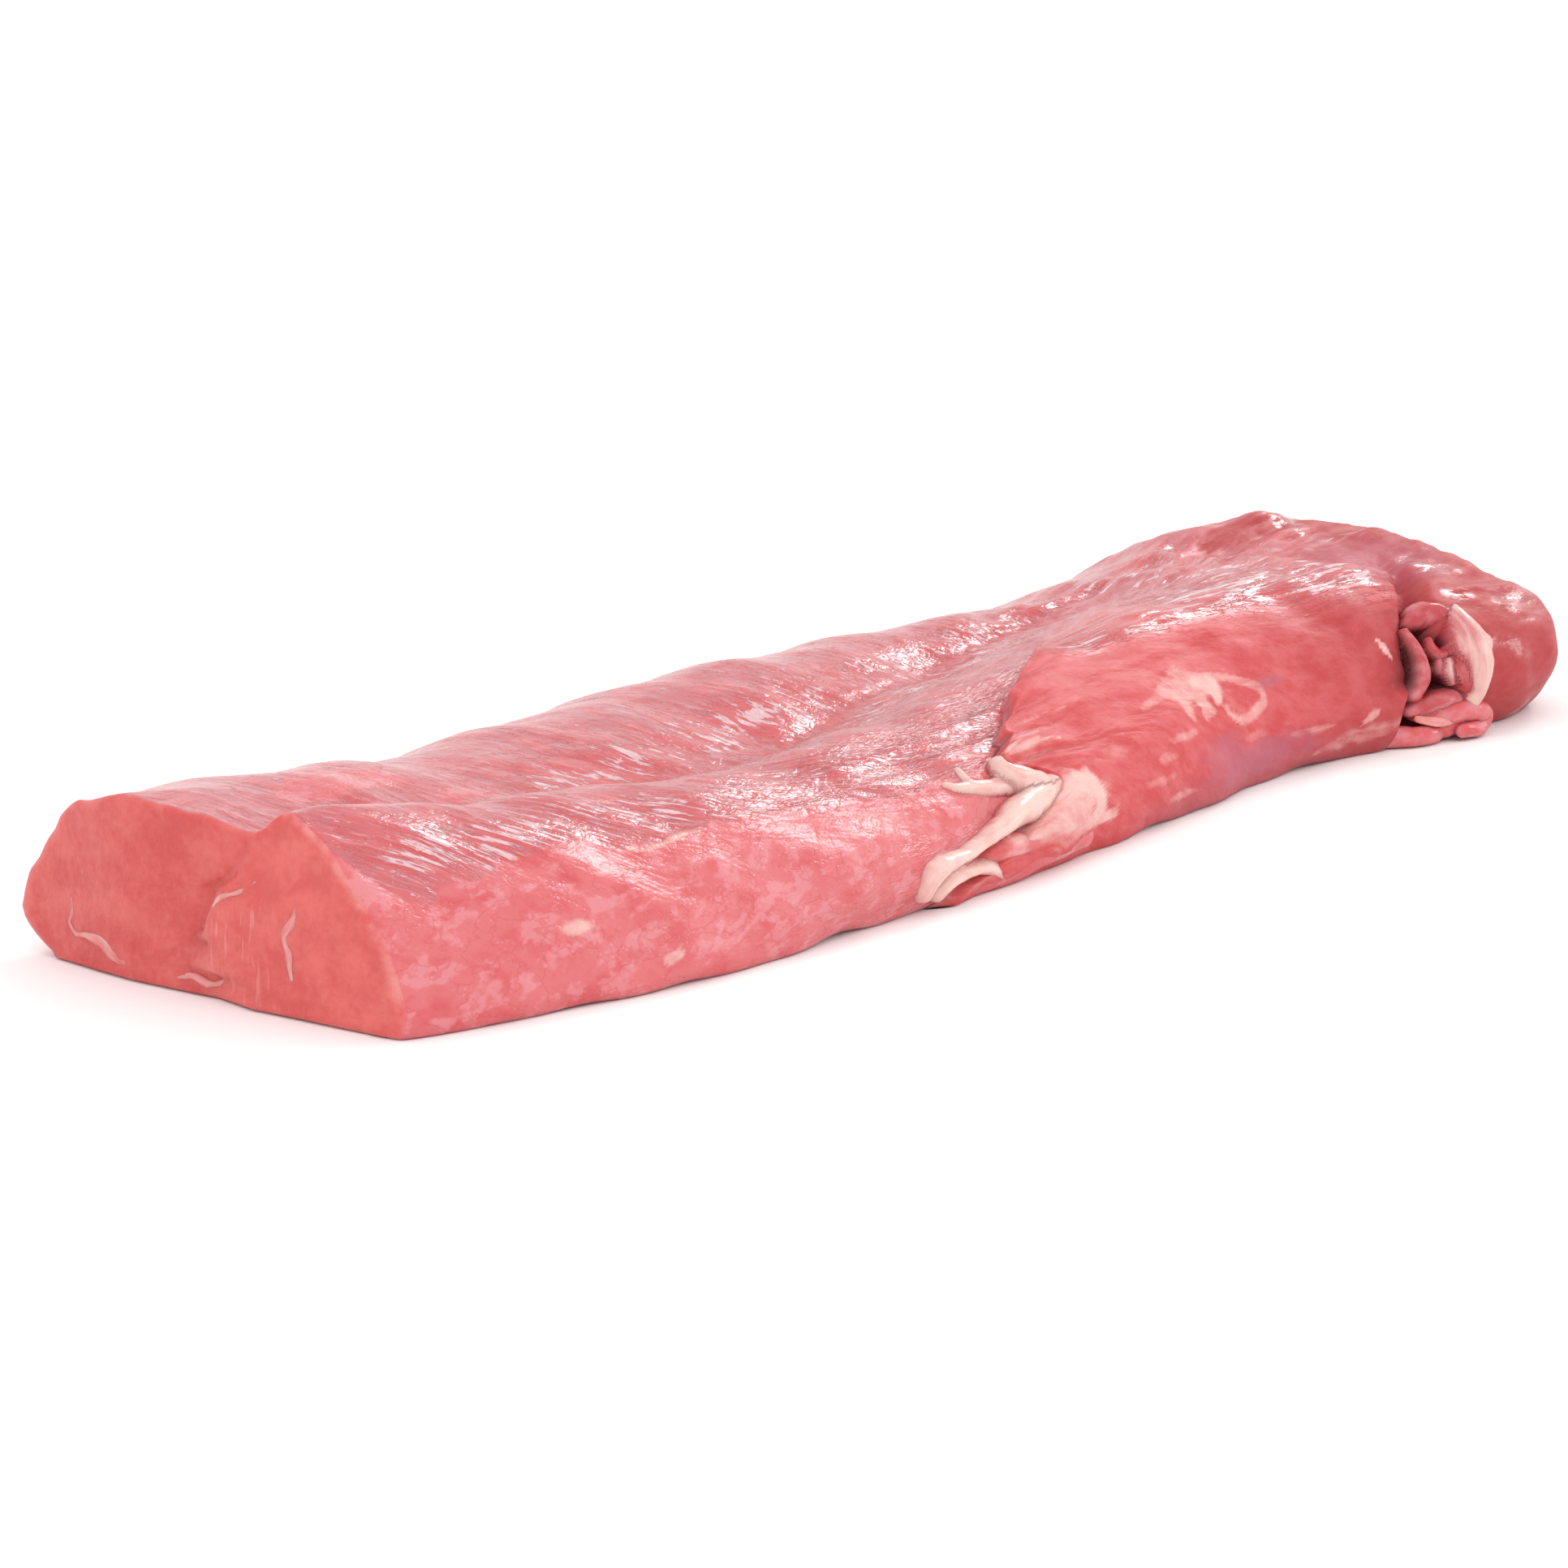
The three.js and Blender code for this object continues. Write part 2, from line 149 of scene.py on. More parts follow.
# %% The smooth outline at any distance and place
def outline(x, place):
    """Height and breadth on the outline, and the direction that points out of the meat there."""
    x, place = np.broadcast_arrays(np.asarray(x, float), np.asarray(place, float))
    across = [keyed(point["y"], x) for point in SLICE]
    up = [keyed(point["z"], x) for point in SLICE]
    near, far = across[0], across[-1]
    for share in SOLE_SHARES:
        across.append(near + (far - near) * share)
        up.append(np.zeros_like(x))
    count = len(across)
    first = np.floor(place).astype(int)
    t = place - first
    found = []
    for values in (np.array(across), np.array(up)):
        flat = values.reshape(count, -1)
        p = [np.take_along_axis(flat, ((first + k) % count).reshape(1, -1), 0).reshape(x.shape)
             for k in (-1, 0, 1, 2)]
        square = 2 * p[0] - 5 * p[1] + 4 * p[2] - p[3]
        cube = -p[0] + 3 * p[1] - 3 * p[2] + p[3]
        at = 0.5 * (2 * p[1] + (p[2] - p[0]) * t + square * t * t + cube * t ** 3)
        speed = 0.5 * ((p[2] - p[0]) + 2 * square * t + 3 * cube * t * t)
        found.append((at, speed))
    (y, dy), (z, dz) = found
    length = np.hypot(dy, dz) + 1e-9
    return y, z, -dz / length, dy / length


def in_frame(points):
    """Millimetres from the cut's near corner, turned into metres in the part's own frame."""
    return (np.asarray(points, float) - (*MIDDLE, 0)) / 1000


y, z, _, _ = outline(150, np.arange(9))
print("slice at 150 mm:", [(round(float(a)), round(float(b))) for a, b in zip(y, z)])

# %% [markdown]
# ## Unevenness
#
# Raw meat is never quite even, but its bumps are smooth and wet, not rough. A value noise does
# this: random numbers on a grid, smoothly joined. It is worked out here with whole numbers only,
# so that it comes out the same every time.

# %% A smooth noise
def noise(*coordinates, seed=0):
    """Smooth random values from -1 to 1 that change about once for each step of 1."""
    spots = np.stack(np.broadcast_arrays(*[np.asarray(c, float) for c in coordinates]))
    low = np.floor(spots).astype(np.int64)
    part = spots - low
    part = part * part * (3 - 2 * part)
    total = 0
    for corner in np.ndindex(*(2,) * len(spots)):
        key = np.full(low.shape[1:], seed * 7919 + 17, np.int64)
        weight = 1.0
        for axis, step in enumerate(corner):
            key = (key * 31 + (low[axis] + step) * (73856093, 19349663, 83492791)[axis]) & 0xFFFFFFFF
            weight = weight * (part[axis] if step else 1 - part[axis])
        key = ((key ^ (key >> 13)) * 1274126177) & 0xFFFFFFFF
        key = ((key ^ (key >> 16)) * 668265263) & 0xFFFFFFFF
        total = total + weight * ((key ^ (key >> 15)) & 0xFFFF) / 0xFFFF
    return total * 2 - 1


def rich_noise(*coordinates, seed=0, layers=3):
    """Several layers of the noise, each half as large and half as strong as the one before."""
    total, strength = 0, 0
    for layer in range(layers):
        scaled = [np.asarray(c, float) * 2 ** layer for c in coordinates]
        total = total + noise(*scaled, seed=seed + layer) / 2 ** layer
        strength += 1 / 2 ** layer
    return total / strength


print("noise at a few places:", np.round(noise(np.arange(5) * 0.37), 2))

# %% [markdown]
# ## Overlap, cleft and groove
#
# Three forms lie on the smooth outline. The overlapping sheet of muscle is a step that faces the
# cut and runs out towards the tail. The cleft is a deep, narrow valley in the near side of the
# tail, and its flank towards the cut slopes in more gently than the other one. The groove is where
# the two humps meet. The solid has the same three forms, and here their edges also wander a little.

# %% Relief on the outline
OVERLAP_EDGE = [(0, 186), (0.3, 196), (0.6, 214), (1, 232), (1.4, 249), (1.6, 246), (1.85, 232),
                (2.05, 238), (2.3, 248), (2.6, 265), (3, 298), (3.6, 340), (5, 320), (8, 250), (12, 186)]
OVERLAP_THICKNESS = 4.5
OVERLAP_EDGE_WIDTH = 2.4
OVERLAP_RUN_OUT = 150
OVERLAP_FADE = (2.45, 3.4)

CLEFT_LINE = [(0, 446), (0.5, 452), (0.9, 457), (1.3, 459), (1.7, 459), (2.1, 461), (2.5, 467),
              (3, 478), (3.6, 488), (5, 480), (8, 462), (12, 446)]
CLEFT_DEPTH = [(0, 7), (0.5, 15), (1, 22), (1.5, 21), (2, 16), (2.5, 9), (3, 4), (3.6, 0)]
CLEFT_HALF_WIDTH = [(0, 6), (0.8, 7.5), (1.5, 7), (2.1, 5), (3, 5)]
CLEFT_FLANK, CLEFT_FLANK_WIDTH = 0.36, 2.9

GROOVE_PLACE = 4
GROOVE_HALF_WIDTH = 0.35
GROOVE_DEPTH = 2.2
GROOVE_END = 420
CREASE_LINE = [(60, 4.0), (200, 3.98), (250, 4.04), (310, 4.06), (358, 4.2), (400, 4.4)]
CREASE_DEPTH = 1.3
CREASE_HALF_WIDTH = 0.08
WAVES = [(0.6, 83, 1.9), (0.45, 53, -2.7), (0.3, 31, 3.4)]


def bell(distance, half_width):
    return np.exp(-(distance / half_width) ** 2)


def overlap_edge(place):
    """Where the overlapping sheet starts; its edge is a little ragged on the near side."""
    place = np.asarray(place, float)
    high = soft_step(place, 1.85, 2.2)
    ragged = (1.7 + 2.0 * high) * noise(place * 5.3, seed=5) + (0.9 + 1.6 * high) * noise(place * 13, seed=6)
    return keyed(OVERLAP_EDGE, place) + ragged * soft_step(place, 0.1, 0.6) * (1 - soft_step(place, 2.9, 3.4))


def overlap_height(x, place):
    edge = overlap_edge(place)
    half = OVERLAP_EDGE_WIDTH / 2
    behind = soft_step(x, edge - half, edge + half)
    runs_out = 1 - soft_step(x, edge + OVERLAP_EDGE_WIDTH, edge + OVERLAP_RUN_OUT)
    near_side = 1 - soft_step(place, *OVERLAP_FADE)
    return OVERLAP_THICKNESS * behind * runs_out * near_side


def cleft_depth(x, place):
    off = x - keyed(CLEFT_LINE, place)
    half_width = keyed(CLEFT_HALF_WIDTH, place)
    flank = bell(off, half_width * CLEFT_FLANK_WIDTH) * soft_step(place, 0.7, 1.2)
    shape = np.where(off < 0, np.maximum(bell(off, half_width), CLEFT_FLANK * flank), bell(off, half_width))
    return np.where(place < 4, keyed(CLEFT_DEPTH, place) * shape, 0)


def groove_depth(x, place):
    runs = soft_step(x, 0, 10) * (1 - soft_step(x, GROOVE_END - 60, GROOVE_END))
    fine_runs = soft_step(x, 80, 160) * (1 - soft_step(x, 350, 420)) * (0.7 + 0.4 * noise(x / 21, seed=7))
    fine = CREASE_DEPTH * bell(place - keyed(CREASE_LINE, x), CREASE_HALF_WIDTH) * fine_runs
    return GROOVE_DEPTH * bell(place - GROOVE_PLACE, GROOVE_HALF_WIDTH) * runs + fine


def broad_relief(x, place):
    """How far the meat stands out of its smooth outline, without the small unevenness."""
    waves = sum(height * np.sin(2 * np.pi * x / along + around * place) for height, along, around in WAVES)
    total = overlap_height(x, place) - cleft_depth(x, place) - groove_depth(x, place) + waves
    return np.where(place < 8, total, 0)


print("the overlap stands out by", round(float(overlap_height(262, 1)), 1), "mm near its edge")

# %% [markdown]
# ## The surface of the meat
#
# Everything else is laid on this surface: a place is given by its distance from the cut and its
# place on the outline, and the surface answers with a point and the direction out of the meat. The
# small unevenness is soft lumps as wide as a thumb, bundles of fibres, and puckers near the crease.

# %% Points on the meat
def small_relief(x, place, along, across):
    """Soft lumps and fibre bundles; along and across are distances on the surface."""
    tail = soft_step(x, 455, 500)
    lumps = (0.55 + 0.9 * tail) * rich_noise(along / 17, across / 14, seed=3)
    on_top = soft_step(place, 2.6, 3.2) * (1 - soft_step(place, 4.6, 5.4)) * soft_step(x, 310, 390)
    on_film = soft_step(place, 1.9, 2.5)
    on_tail = soft_step(x, 430, 480) * soft_step(place, 1.5, 2.3)
    bundles = 0.08 + 0.24 * on_film + 0.75 * on_top + 0.45 * on_tail
    bundles = bundles * rich_noise(along / 24, across / 5.2, seed=11, layers=2)
    near_crease = bell(place - GROOVE_PLACE, 0.6) * soft_step(x, 5, 40)
    puckers = 0.8 * near_crease * rich_noise(along / 10, across / 5, seed=23, layers=2)
    off_sole = 1 - soft_step(place, 7.2, 7.9)
    return (lumps + bundles + puckers) * off_sole * soft_step(place, 0, 0.3)


def on_meat(x, place, lift=0.0):
    """Points on the broad form of the meat, lifted off it by some millimetres."""
    x, place, lift = np.broadcast_arrays(*[np.asarray(v, float) for v in (x, place, lift)])
    y, z, out_y, out_z = outline(x, place)
    height = broad_relief(x, place) + lift
    return np.stack([x, y + out_y * height, np.maximum(z + out_z * height, 0)], -1)


def out_of_meat(x, place):
    """The direction out of the broad form of the meat."""
    ahead = on_meat(x + 1.0, place) - on_meat(x - 1.0, place)
    around = on_meat(x, place + 0.02) - on_meat(x, place - 0.02)
    out = np.cross(ahead, around)
    return out / (np.linalg.norm(out, axis=-1, keepdims=True) + 1e-9)


print("out of the near side at 200 mm:", np.round(out_of_meat(200.0, 1.0), 2))

# %% [markdown]
# ## The cross cut
#
# A knife leaves the cut nearly flat, but muscle gives way under it. Here the near part stands proud
# of the rest by a few millimetres, beside a valley that starts at the notch between the humps, and
# the far part falls back a little.

# %% Relief of the cut
CUT_HEART = (58, 22)
CUT_PROUD = 3.4
CUT_FALL_BACK = 6
CUT_FALL = (85, 133)
LOBE_EDGE = [(0, 54), (9, 62), (17.5, 65), (26, 61), (34, 54), (44, 48)]


def cut_face(y, z):
    """How far the cut stands back from the plane at 0."""
    edge = keyed(LOBE_EDGE, z) + 0.9 * noise(z / 4, seed=41)
    lobe = (1 - soft_step(y, edge - 3.2, edge + 1.6)) * (1 - soft_step(z, 23, 44))
    hollow = 1.6 * soft_step(y, 18, 30) * (1 - soft_step(y, 44, 58)) * bell(z - 35, 9)
    seam = 1.1 * bell(y - edge - 1.8, 2.2) * (1 - soft_step(z, 26, 40))
    ripple = 0.35 * noise(y / 2.6, z / 9, seed=42) * lobe
    uneven = 0.7 * rich_noise(y / 17, z / 13, seed=43)
    fall = CUT_FALL_BACK * soft_step(y, *CUT_FALL)
    return CUT_PROUD * (1 - lobe) + fall + seam + hollow + ripple + uneven * soft_step(z, 0, 6)


print("the cut stands back by", np.round(cut_face(np.array([20.0, 62.0, 120.0]), 20.0), 1), "mm")

# %% [markdown]
# ## Rings of points around the meat
#
# The skin is a stack of rings. If each ring were a straight slice, the slanting edge of the overlap
# would come out as a staircase. So the rings lean with the edge, and between edges they turn evenly
# from one to the next. They are close together where there is something to see.

# %% Where the rings run
BEVEL = 1.3
PLACES = np.concatenate([
    np.linspace(span, span + 1, steps, endpoint=False)
    for span, steps in enumerate([19, 22, 25, 27, 28, 24, 16, 8, 3, 3, 3, 3])
])
ROW_LINES = [
    (lambda p: cut_start(p), 0),
    (lambda p: 60 + 0 * p, 46),
    (lambda p: overlap_edge(p) - 6, 108),
    (lambda p: overlap_edge(p) - 1.2, 5),
    (lambda p: overlap_edge(p) + 1.2, 4),
    (lambda p: overlap_edge(p) + 6, 5),
    (lambda p: keyed(CLEFT_LINE, p) - 14, 126),
    (lambda p: keyed(CLEFT_LINE, p), 16),
    (lambda p: keyed(CLEFT_LINE, p) + 14, 16),
    (lambda p: TAIL_START + 0 * p, 16),
]


def cut_start(place):
    """Where the sides meet the cut, with room for a soft edge."""
    y, z, _, _ = outline(0, place)
    return cut_face(y, z) + BEVEL


def row_distances():
    rows = [ROW_LINES[0][0](PLACES)]
    for (before, _), (after, steps) in zip(ROW_LINES, ROW_LINES[1:]):
        start, end = before(PLACES), after(PLACES)
        rows += [start + (end - start) * step / steps for step in range(1, steps + 1)]
    return np.array(rows)


SIDE_ROWS = row_distances()
print("side rows and columns:", SIDE_ROWS.shape)


# %% Distances measured on the surface
def from_crease(points):
    """Distance around each ring from the crease: plus on the near side, minus on the far side."""
    steps = np.linalg.norm(np.diff(points, axis=1, append=points[:, :1]), axis=-1)
    walked = np.cumsum(steps, axis=1) - steps
    crease = np.searchsorted(PLACES, 4)
    return walked[:, crease:crease + 1] - walked


plain = on_meat(SIDE_ROWS, PLACES[None, :])
SIDE_AROUND = from_crease(plain)
print("around the meat at its middle:", round(float(np.ptp(SIDE_AROUND[150]))), "mm")

# %% [markdown]
# ## Which way the fibres run
#
# The film's fibres slant across the near hump, run almost straight across the far hump, and follow
# the length of the overlapping sheet and the tail. Each point gets two numbers, its distance along
# the fibres and across them, once for the main muscle and once for the sheet. A texture that is
# stretched along the first number then follows the fibres by itself.

# %% Fibre coordinates
NEAR_SLANT, FAR_SLANT, SHEET_SLANT = 0.93, 0.25, -0.16


def wander_of(x, around):
    return 3.2 * noise(x / 42, around / 37, seed=61) + 1.1 * noise(x / 17, around / 13, seed=62)


def main_fibres(x, around):
    """Distance along and across the fibres; the slant changes softly where it passes the crease."""
    turn = 8.0
    drift = FAR_SLANT * around + (NEAR_SLANT - FAR_SLANT) * turn * np.logaddexp(0, around / turn)
    return around + 0 * x, x - drift + wander_of(x, around)


def sheet_fibres(x, around):
    return x + 0 * around, around - SHEET_SLANT * x + wander_of(x, around)


print("fibre coordinates at 100 mm:", np.round([float(v) for v in main_fibres(100.0, 20.0)], 1))

# %% [markdown]
# ## The skin of the fillet
#
# The skin has three stretches: the cut face, drawn in to its heart, the long sides, and the tail,
# drawn in to a point as well. One closed mesh holds them all, because the meat is one piece.

# %% Rings of the cut, the sides and the tail
CUT_SHARES = [0.995, 0.985, 0.972, 0.955, 0.935] + list(np.linspace(0.915, 0.0, 55))
TAIL_STEPS = 26


def lip_folds(x, place, along, across):
    """Folds in the torn lip of the sheet, which run in from its edge and fade."""
    off_edge = x - overlap_edge(place)
    lip = soft_step(off_edge, -1, 3) * (1 - soft_step(off_edge, 10, 46))
    lip = lip * soft_step(place, 1.45, 1.75) * (1 - soft_step(place, 2.7, 3.2))
    return 2.3 * lip * rich_noise(along / 30, across / 5.5, seed=33, layers=2)


def side_rings():
    on_main = main_fibres(SIDE_ROWS, SIDE_AROUND)
    on_sheet = sheet_fibres(SIDE_ROWS, SIDE_AROUND)
    behind = soft_step(SIDE_ROWS, overlap_edge(PLACES) - 4, overlap_edge(PLACES) + 4)
    near_cut = soft_step(SIDE_ROWS, 0, 14)
    on_far = soft_step(PLACES, 3.4, 4.4)
    nibbled = (0.4 + 0.7 * on_far) * (noise(PLACES * 2.9, seed=31) + 0.6 * noise(PLACES * 6.7, seed=32))
    off_sole = soft_step(PLACES, 0.1, 0.5) * (1 - soft_step(PLACES, 7.3, 7.9))
    nibbled = nibbled * off_sole * (1 - soft_step(SIDE_ROWS, 5, 24))
    main = small_relief(SIDE_ROWS, PLACES[None, :], *on_main)
    sheet = small_relief(SIDE_ROWS, PLACES[None, :], *on_sheet)
    sheet = sheet + lip_folds(SIDE_ROWS, PLACES, *on_sheet)
    return on_meat(SIDE_ROWS, PLACES[None, :], (main + (sheet - main) * behind) * near_cut + nibbled)


def cut_rings(edge_ring):
    y, z = edge_ring[:, 1], edge_ring[:, 2]
    rings = []
    for share in CUT_SHARES[::-1]:
        ring_y = CUT_HEART[0] + (y - CUT_HEART[0]) * share
        ring_z = CUT_HEART[1] + (z - CUT_HEART[1]) * share
        rounded = BEVEL * soft_step(share, 0.93, 1.03) ** 2 * 1.6
        rings.append(np.stack([cut_face(ring_y, ring_z) + rounded, ring_y, np.maximum(ring_z, 0)], -1))
    return np.array(rings)


def tail_rings(last_ring):
    rings = []
    for step in range(1, TAIL_STEPS + 1):
        turn = (1 - (1 - step / TAIL_STEPS) ** 1.5) * np.pi / 2
        x = TAIL_START + (LENGTH - TAIL_START) * np.sin(turn)
        size = max(np.cos(turn), 0) ** TAIL_BLUNTNESS if step < TAIL_STEPS else 0
        around = SIDE_AROUND[-1]
        lift = small_relief(x, PLACES, *sheet_fibres(x, around))
        ring = on_meat(x, PLACES, lift)
        heart = np.array([x, *TAIL_HEART])
        rings.append(heart + (ring - heart) * (1, size, size))
    return np.array(rings)


sides = side_rings()
cut = cut_rings(sides[0])
tail = tail_rings(sides[-1])
SKIN = np.concatenate([cut, sides, tail])
print("skin rings:", len(cut), "on the cut,", len(sides), "on the sides,", len(tail), "on the tail")


# %% Join the rings to one mesh
def quads_between(rows, columns):
    row, column = np.meshgrid(np.arange(rows - 1), np.arange(columns), indexing="ij")
    beside = (column + 1) % columns
    corners = [row * columns + column, (row + 1) * columns + column,
               (row + 1) * columns + beside, row * columns + beside]
    return np.stack(corners, -1).reshape(-1, 4)


def mesh_from_rings(name, rings):
    """A closed, smooth mesh from rings; the first and last ring are each drawn in to one point."""
    rows, columns = rings.shape[:2]
    points = in_frame(rings).reshape(-1, 3)
    quads = quads_between(rows, columns)
    mesh = bpy.data.meshes.new(name)
    mesh.from_pydata(points.tolist(), [], quads.tolist())
    mesh.polygons.foreach_set("use_smooth", np.ones(len(quads), bool))
    piece = bpy.data.objects.new(name, mesh)
    bpy.context.scene.collection.objects.link(piece)
    return piece


fillet = mesh_from_rings("veal_fillet", SKIN)
print("fillet faces:", len(fillet.data.polygons))

# %% [markdown]
# ## Where film, fat, red and painted shade lie
#
# The finish needs to know what covers each point of the skin. These amounts could be painted by
# hand, but they follow from the form: the film lies above a wandering edge on the near shoulder and
# stops at the overlap, painted shade darkens the inside of the cleft and a line under the overlap's
# edge, and pale fat shows through the meat in a few places. Each amount is stored on the mesh under
# its own name.

# %% Amounts on the skin
CUT_COUNT, TAIL_COUNT = len(cut), len(tail)
FILM_EDGE = [(0, 2.6), (5, 2.5), (12, 2.05), (30, 2.08), (54, 2.33), (68, 2.33), (87, 2.24),
             (107, 2.27), (155, 2.27), (188, 2.14), (208, 2.05), (224, 2.02), (250, 2.3), (300, 2.7)]
SHEET_FILM_EDGE = [(240, 3.0), (300, 2.9), (354, 2.78), (388, 2.72), (431, 2.5), (460, 2.7), (500, 3.2)]


def stretch(values, on_cut=0.0):
    """Amounts for the whole skin: one value for the cut, and the last ring's along the tail."""
    the_cut = np.full((CUT_COUNT, len(PLACES)), on_cut)
    return np.concatenate([the_cut, values, np.repeat(values[-1:], TAIL_COUNT, 0)])


X, P, W = SIDE_ROWS, np.broadcast_to(PLACES, SIDE_ROWS.shape), SIDE_AROUND
edge = overlap_edge(P)
wander = 0.10 * noise(X / 9, P * 2, seed=71) + 0.05 * noise(X / 3.5, P * 4, seed=72)
behind_edge = soft_step(X, edge - 1.0, edge + 1.0) * (1 - soft_step(P, 3.1, 3.9))
past_middle = soft_step(X, 330, 420)
sheet = np.maximum(behind_edge, past_middle)

above_film_edge = soft_step(P - keyed(FILM_EDGE, X) - wander, -0.06, 0.10)
main_film = above_film_edge * (1 - behind_edge) * (1 - soft_step(P, 6.9, 7.6))
on_sheet_top = soft_step(P - keyed(SHEET_FILM_EDGE, X) - wander, -0.15, 0.35)
sheet_film = on_sheet_top * (1 - soft_step(P, 5.6, 7.2)) * (1 - soft_step(X, 470, 520))
film = main_film * (1 - past_middle) + 0.62 * sheet_film * past_middle
film = np.maximum(film, 0.35 * sheet_film * behind_edge)

# Painted shade: the cleft is painted darker the deeper it goes, and a painted shadow line lies under the
# overlap's edge.
painted_shade = np.clip(cleft_depth(X, P) / 10, 0, 1) * (1 - soft_step(P, 2.2, 2.8))
shadow_under_edge = bell(X - edge + 3.0, 2.6) * (1 - soft_step(P, 2.1, 3.0))
crease_red = bell(P - 4.36, 0.26) * (0.75 + 0.5 * noise(X / 23, seed=81)) * (1 - soft_step(X, 350, 420))
crease_red = np.maximum(crease_red, 0.8 * bell(P - keyed(CREASE_LINE, X), 0.10) * soft_step(X, 20, 120))
# Painted shade towards the foot of the sheet, where it meets the floor.
foot_shade = 1 - soft_step(P, 0.1, 1.0)
print("film covers", round(float(film.mean()) * 100), "% of the sides")


# %% [markdown]
# ## Fat painted on the skin
#
# Much of the fat lies flat in the surface, so it needs colour and no mesh of its own. A patch is a
# soft, ragged spot around a place. A mark is a ragged stroke along a route, which is a smooth line
# through places on the outline. The straps further down follow such routes too.

# %% Routes on the meat
def from_foot(x, place, steps=24):
    """Distance around the outline from the near foot to a place."""
    x, place = np.broadcast_arrays(np.asarray(x, float), np.asarray(place, float))
    share = np.linspace(0, 1, steps + 1)
    y, z, _, _ = outline(x[..., None] + 0 * share, place[..., None] * share)
    return np.hypot(np.diff(y), np.diff(z)).sum(-1)


def route_through(line):
    """A smooth route: shares of its way, its length, and every column of the line along it."""
    line = np.array(line, float)
    line[:, 1] = from_foot(line[:, 0], line[:, 1])
    walked = np.concatenate([[0], np.cumsum(np.hypot(*np.diff(line[:, :2], axis=0).T))])
    share = np.linspace(0, 1, int(walked[-1] / 0.6) + 3)
    columns = [keyed(list(zip(walked / walked[-1], values)), share) for values in line.T]
    return share, walked[-1], columns


def nearest_on(route, x, around, reach):
    """Which points lie within reach of a route, where on it is nearest, and how far off they are."""
    line_x, line_around = route[2][:2]
    near = ((x > line_x.min() - reach) & (x < line_x.max() + reach)
            & (around > line_around.min() - reach) & (around < line_around.max() + reach))
    off_x = x[near][:, None] - line_x
    off_around = around[near][:, None] - line_around
    nearest = np.argmin(off_x ** 2 + off_around ** 2, axis=1)
    rows = np.arange(len(nearest))
    off_x, off_around = off_x[rows, nearest], off_around[rows, nearest]
    ahead_x, ahead_around = np.gradient(line_x)[nearest], np.gradient(line_around)[nearest]
    across = (off_around * ahead_x - off_x * ahead_around) / np.hypot(ahead_x, ahead_around)
    return near, nearest, np.hypot(off_x, off_around), across


print("from the foot to the belly at 150 mm:", round(float(from_foot(150, 1)), 1), "mm")


# %% Patches that show through the meat
def patch(x, place, length, breadth, ragged=0.3, seed=0):
    """A soft, ragged patch around a place; breadth is counted in outline places."""
    far_along = (X - x) / length
    far_around = (P - place) / breadth
    reach = np.hypot(far_along, far_around) + ragged * rich_noise(X / 6, P * 5, seed=seed)
    return 1 - soft_step(reach, 0.35, 1.15)


def mark(line, breadth, seed=0):
    """A soft, ragged stroke of colour along a route on the skin."""
    route = route_through(line)
    near, nearest, off, _ = nearest_on(route, X, AROUND, max(width for _, width in breadth) + 2)
    half = keyed(breadth, route[0][nearest]) / 2
    ragged = 1 + 0.35 * rich_noise(X[near] / 4, AROUND[near] / 3, seed=seed, layers=2)
    cover = 0 * X
    cover[near] = 1 - soft_step(off / (half * ragged), 0.4, 1.3)
    return cover


FAT_SHOWS = [
    ((100, 0.72), (9, 0.22), 0.3), ((53, 1.28), (7, 0.15), 0.9), ((79, 0.58), (5, 0.08), 0.9),
    ((320, 1.34), (15, 0.10), 0.6), ((309, 1.17), (13, 0.11), 0.5), ((304, 0.9), (14, 0.10), 0.5),
    ((318, 0.55), (16, 0.12), 0.6), ((286, 1.5), (18, 0.2), 0.35), ((316, 1.84), (12, 0.06), 0.6),
    ((372, 1.0), (22, 0.12), 0.4), ((398, 0.8), (20, 0.10), 0.6), ((247, 1.84), (12, 0.24), 0.4),
    ((258, 1.02), (28, 0.36), 0.45), ((424, 0.45), (17, 0.1), 0.6), ((152, 0.65), (8, 0.2), 0.35),
    ((188, 1.35), (10, 0.2), 0.3), ((340, 1.84), (18, 0.22), 0.6), ((204, 0.5), (14, 0.2), 0.4),
    ((500, 2.0), (16, 0.2), 0.3), ((103, 4.09), (20, 0.09), 1.0), ((500, 1.2), (12, 0.3), 0.25),
]
BARE = [((58, 4.62), (34, 0.28), 1.0), ((28, 3.08), (16, 0.16), 0.7), ((88, 4.22), (22, 0.18), 0.7),
        ((478, 4.4), (40, 0.35), 0.8), ((428, 3.3), (22, 0.16), 0.6), ((470, 3.4), (30, 0.3), 0.6)]
